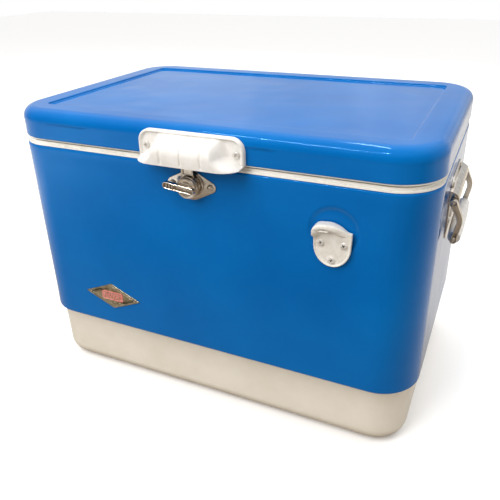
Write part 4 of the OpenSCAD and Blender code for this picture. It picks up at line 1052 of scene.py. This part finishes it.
def arm_path(steps=10):
    """The arm's centre line in the side view, with a rounded knee, as (out, height, half-depth)."""
    pivot, knee, foot = Vector((BAR_OUT, PIVOT_Z)), Vector(KNEE), Vector((GRIP_OUT, GRIP_Z))
    bend = 9
    before = knee + (pivot - knee).normalized() * bend
    after = knee + (foot - knee).normalized() * bend
    pull = knee + (knee - (before + after) / 2) * 0.15
    points = [(pivot, 4.6), (pivot.lerp(before, 0.5), 4.0), (before, 3.5)]
    for i in range(1, steps):
        t = i / steps
        points.append(((1 - t) ** 2 * before + 2 * t * (1 - t) * pull + t * t * after, 3.5))
    points += [(after, 3.5), (after.lerp(foot, 0.6), 3.6), (foot, 4.2)]
    return points


def build_bail(side, tag, body):
    """Two channel-shaped arms with curled ends, the pivot rod and the grip's rod."""
    shape = Shape()
    inner, soft = BAR_HALF + 2, 0.5
    path = arm_path()
    for s in (-1, 1):
        low, web, high = s * inner, s * (inner + ARM_WALL), s * (inner + ARM_W)
        rows = []
        for i, (p, half) in enumerate(path):
            run = (path[min(len(path) - 1, i + 1)][0] - path[max(0, i - 1)][0]).normalized()
            normal = Vector((-run.y, run.x))
            upper = [(low, half - soft), (low + s * soft, half), (high - s * soft, half), (high, half - soft),
                     (high, half - ARM_WALL), (web, half - ARM_WALL)]
            section = upper + [(x, -away) for x, away in reversed(upper)]
            section = [(x, p + normal * away) for x, away in section]
            rows.append([(x, q.y, q.x) for x, q in section])
        shape.grid(rows, wrap=True, cap=True)
        for out, z, r in ((BAR_OUT, PIVOT_Z, 4.9), (GRIP_OUT, GRIP_Z, 4.4)):
            place = cross_frame(s, s * inner, z, out)
            curl = [(r - 1.5, 0), (r - 0.3, 0), (r, 0.4), (r, ARM_W - 0.4), (r - 0.3, ARM_W),
                    (r - 1.5, ARM_W), (r - 1.5, 0)]
            shape.join(lathe(curl, 32), place)
            disc = [(0, 0.1), (r - 1.4, 0.1), (r - 1.4, ARM_WALL), (0, ARM_WALL)]
            shape.join(lathe(disc, 32), place)
    rod_half = inner + ARM_W - 1
    for out, z, r in ((BAR_OUT, PIVOT_Z, 3.2), (GRIP_OUT, GRIP_Z, 3.0)):
        shape.join(rod((-rod_half, z, out), (rod_half, z, out), r, 24, 0.8))
    piece("bail_frame_" + tag, shape.moved(end_frame(side, 0, 0)), "nickel", body, ("bail_" + tag,),
          smooth=35)
    build_hand_grip(side, tag, body)


def build_hand_grip(side, tag, body):
    """A moulded tube that swells a little between its collars."""
    length, bore, count, end = 2 * BAR_HALF + 3, 3.1, 24, 5.5
    collar = [(bore, 0), (7.2, 0), (7.9, 0.4), (8.1, 1.2), (8.1, 3.6), (7.8, 4.2), (8.0, 4.9)]
    swell = [(8.2 + 1.25 * sin(pi * i / count) ** 0.8, end + (length - 2 * end) * i / count)
             for i in range(count + 1)]
    profile = collar + swell + [(r, length - h) for r, h in reversed(collar)] + [(bore, 0)]
    place = end_frame(side, 0, 0) @ cross_frame(1, -length / 2, GRIP_Z, GRIP_OUT)
    piece("bail_grip_" + tag, lathe(profile, 48).moved(place), "handle_plastic", body, ("grip_" + tag,),
          smooth=40)


# ---- Hinge screws, and the CAD nodes that still show ----

HINGE_X = 190
HINGE_BORES = (-27, 0, 27)
HINGE_T = 1.5
HINGE_BORE_Z = 17
SOFTENED = {"hinge_leaves_body": 0.4, "hinge_leaves_lid": 0.4, "hinge_pins": 0.4, "drain_cap": 0.3,
            "drain_spout": 0.3, "drain_nut": 0.3, "latch_retainer": 0.3}


def build_hinge_screws():
    for tag, body, wall, z in (("body", "chest", CASE_W / 2, CASE_TOP - HINGE_BORE_Z),
                               ("lid", "lid", LID_W / 2, LID_LOW + HINGE_BORE_Z)):
        screws("hinge_screw_heads_" + tag, "hinge_screws_" + tag, body,
               [(back_frame(s * HINGE_X + x, z, wall + HINGE_T), 20 * i + 9 * s)
                for s in (-1, 1) for i, x in enumerate(HINGE_BORES)])


def finish_cad_nodes():
    """Gives each CAD node that still shows its material, and some a softened edge."""
    for entry in frame["record"]["subparts"]:
        name = entry["node"]
        obj = nodes[name]
        obj.data.materials.clear()
        obj.data.materials.append(MATS[entry["material_slot"]])
        if name in SOFTENED:
            edge = obj.modifiers.new("edge", "BEVEL")
            edge.width = SOFTENED[name] * MM
            edge.segments = 2
            edge.limit_method = "ANGLE"
            edge.angle_limit = radians(40)


# ---- Stage ----

def build_camera():
    """The photograph's viewing angle, solved from the chest's own edges."""
    data = bpy.data.cameras.new("photo_camera")
    data.sensor_width = 36
    data.lens = 40.23
    data.shift_x, data.shift_y = -0.0064, -0.0374
    data.clip_start = 0.01
    camera = new_object("photo_camera", data)
    pose = Matrix.Translation((0.3482, -0.7659, 0.6058))
    for turn, axis in ((24.8, "Z"), (90 - 25.8, "X"), (-1.2, "Z")):
        pose = pose @ Matrix.Rotation(radians(turn), 4, axis)
    camera.matrix_world = pose
    scene.camera = camera


def area_light(name, place, target, size, power, reflected=True):
    """A rectangular soft light at place, facing target."""
    data = bpy.data.lights.new(name, "AREA")
    data.shape = "RECTANGLE"
    data.size, data.size_y = size
    data.energy = power
    light = new_object(name, data)
    light.location = place
    light.rotation_euler = (Vector(target) - Vector(place)).to_track_quat("-Z", "Y").to_euler()
    light.visible_glossy = reflected
    return light


def seen_or_lit(seen, lit):
    """The colour seen where a surface is looked at, and the lit one in light and reflections."""
    path = add(lit.id_data, "LightPath")
    return blend_colours(path.outputs["Is Camera Ray"], lit, seen)


def position(tree, output):
    """The places along X, Y and Z of a texture coordinate."""
    source = add(tree, "TexCoord").outputs[output]
    return source, add(tree, "SeparateXYZ", Vector=source).outputs


def build_world():
    """A studio that is bright above and behind the chest, and dim and warm in front of it."""
    world = bpy.data.worlds.new("studio")
    scene.world = world
    world.use_nodes = True
    tree = world.node_tree
    source, along = position(tree, "Generated")
    around = ramp(span(along["Y"], 0, 1, -1, 1), (0.0, (0.20, 0.16, 0.12)),
                  (0.42, (0.26, 0.23, 0.20)), (0.62, (0.60, 0.62, 0.64)), (1.0, (0.63, 0.65, 0.68)))
    overhead = ramp(along["Z"], (0.0, (0, 0, 0)), (0.45, (0.05, 0.05, 0.05)), (0.9, (1, 1, 1)))
    clouds = add(tree, "TexNoise", Vector=source, Scale=3.2, Detail=2.0, Distortion=1.6)
    patchy = ramp(clouds.outputs["Fac"], (0.35, (0.82, 0.82, 0.82)), (0.62, (1.16, 1.16, 1.16)))
    around = blend_colours(1.0, around, patchy, "MULTIPLY")
    around = blend_colours(1.0, around, overhead, "ADD")
    feed(tree.nodes["Background"], Color=seen_or_lit((1, 1, 1, 1), around), Strength=1.0)


def build_floor():
    """A pale sheet: white to the eye, brown in front and pale behind to reflections."""
    build = bmesh.new()
    bmesh.ops.create_grid(build, x_segments=8, y_segments=8, size=6)
    mesh = bpy.data.meshes.new("floor")
    build.to_mesh(mesh)
    build.free()
    floor = new_object("floor", mesh)
    floor.location = (0, 0, -0.5 * MM)
    mat, tree, shader = material("floor_sheet")
    along = position(tree, "Object")[1]
    depth = ramp(span(along["Y"], 0, 1, -1.4, 0.4), (0.0, (0.34, 0.32, 0.29)),
                 (0.45, (0.16, 0.13, 0.10)), (0.66, (0.36, 0.31, 0.25)), (0.85, (0.62, 0.58, 0.52)))
    leftness = span(along["X"], 1, 0, -1.1, -0.25)
    left = ramp(leftness, (0.0, (0, 0, 0)), (1.0, (0.75, 0.74, 0.72)))
    tone = seen_or_lit((0.98, 0.98, 0.98, 1), blend_colours(leftness, depth, left))
    feed(shader, Base_Color=tone, Roughness=0.9, Specular_IOR_Level=0.0)
    mesh.materials.append(mat)


def build_stage():
    """The camera, the surroundings and the lights; the large ones are kept out of reflections."""
    build_camera()
    build_world()
    build_floor()
    chest, lid_edge = (0, 0, 0.25), (0.2, -0.19, 0.42)
    area_light("key", (-0.9, -1.7, 1.5), chest, (1.6, 1.0), 31, False)
    area_light("fill", (1.6, -0.9, 0.9), chest, (1.2, 1.0), 4.5, False)
    area_light("rear", (0.2, 2.2, 1.6), (0, 0, 0.3), (3.0, 1.2), 26, False)
    area_light("dash", (0.01, -1.28, 2.07), (0.27, -0.19, 0.42), (0.20, 0.05), 3)
    line = area_light("line", (-0.12, 0.35, 2.3), lid_edge, (0.9, 0.035), 5)
    line.rotation_euler.rotate_axis("Z", radians(80))
    area_light("tube", (-0.46, -0.95, 1.75), (0.1, -0.19, 0.4), (0.8, 0.03), 5)
    scene.view_settings.view_transform = "Standard"


# ---- Everything ----

finish_cad_nodes()
build_case()
build_base()
build_lid()
build_lid_liner()
build_gasket()
build_lid_handle()
build_latch()
build_strike()
build_opener()
build_badge()
for side, tag in ((1, "right"), (-1, "left")):
    build_bracket(side, tag)
    build_bail(side, tag, tag + "_bail")
build_hinge_screws()
build_stage()
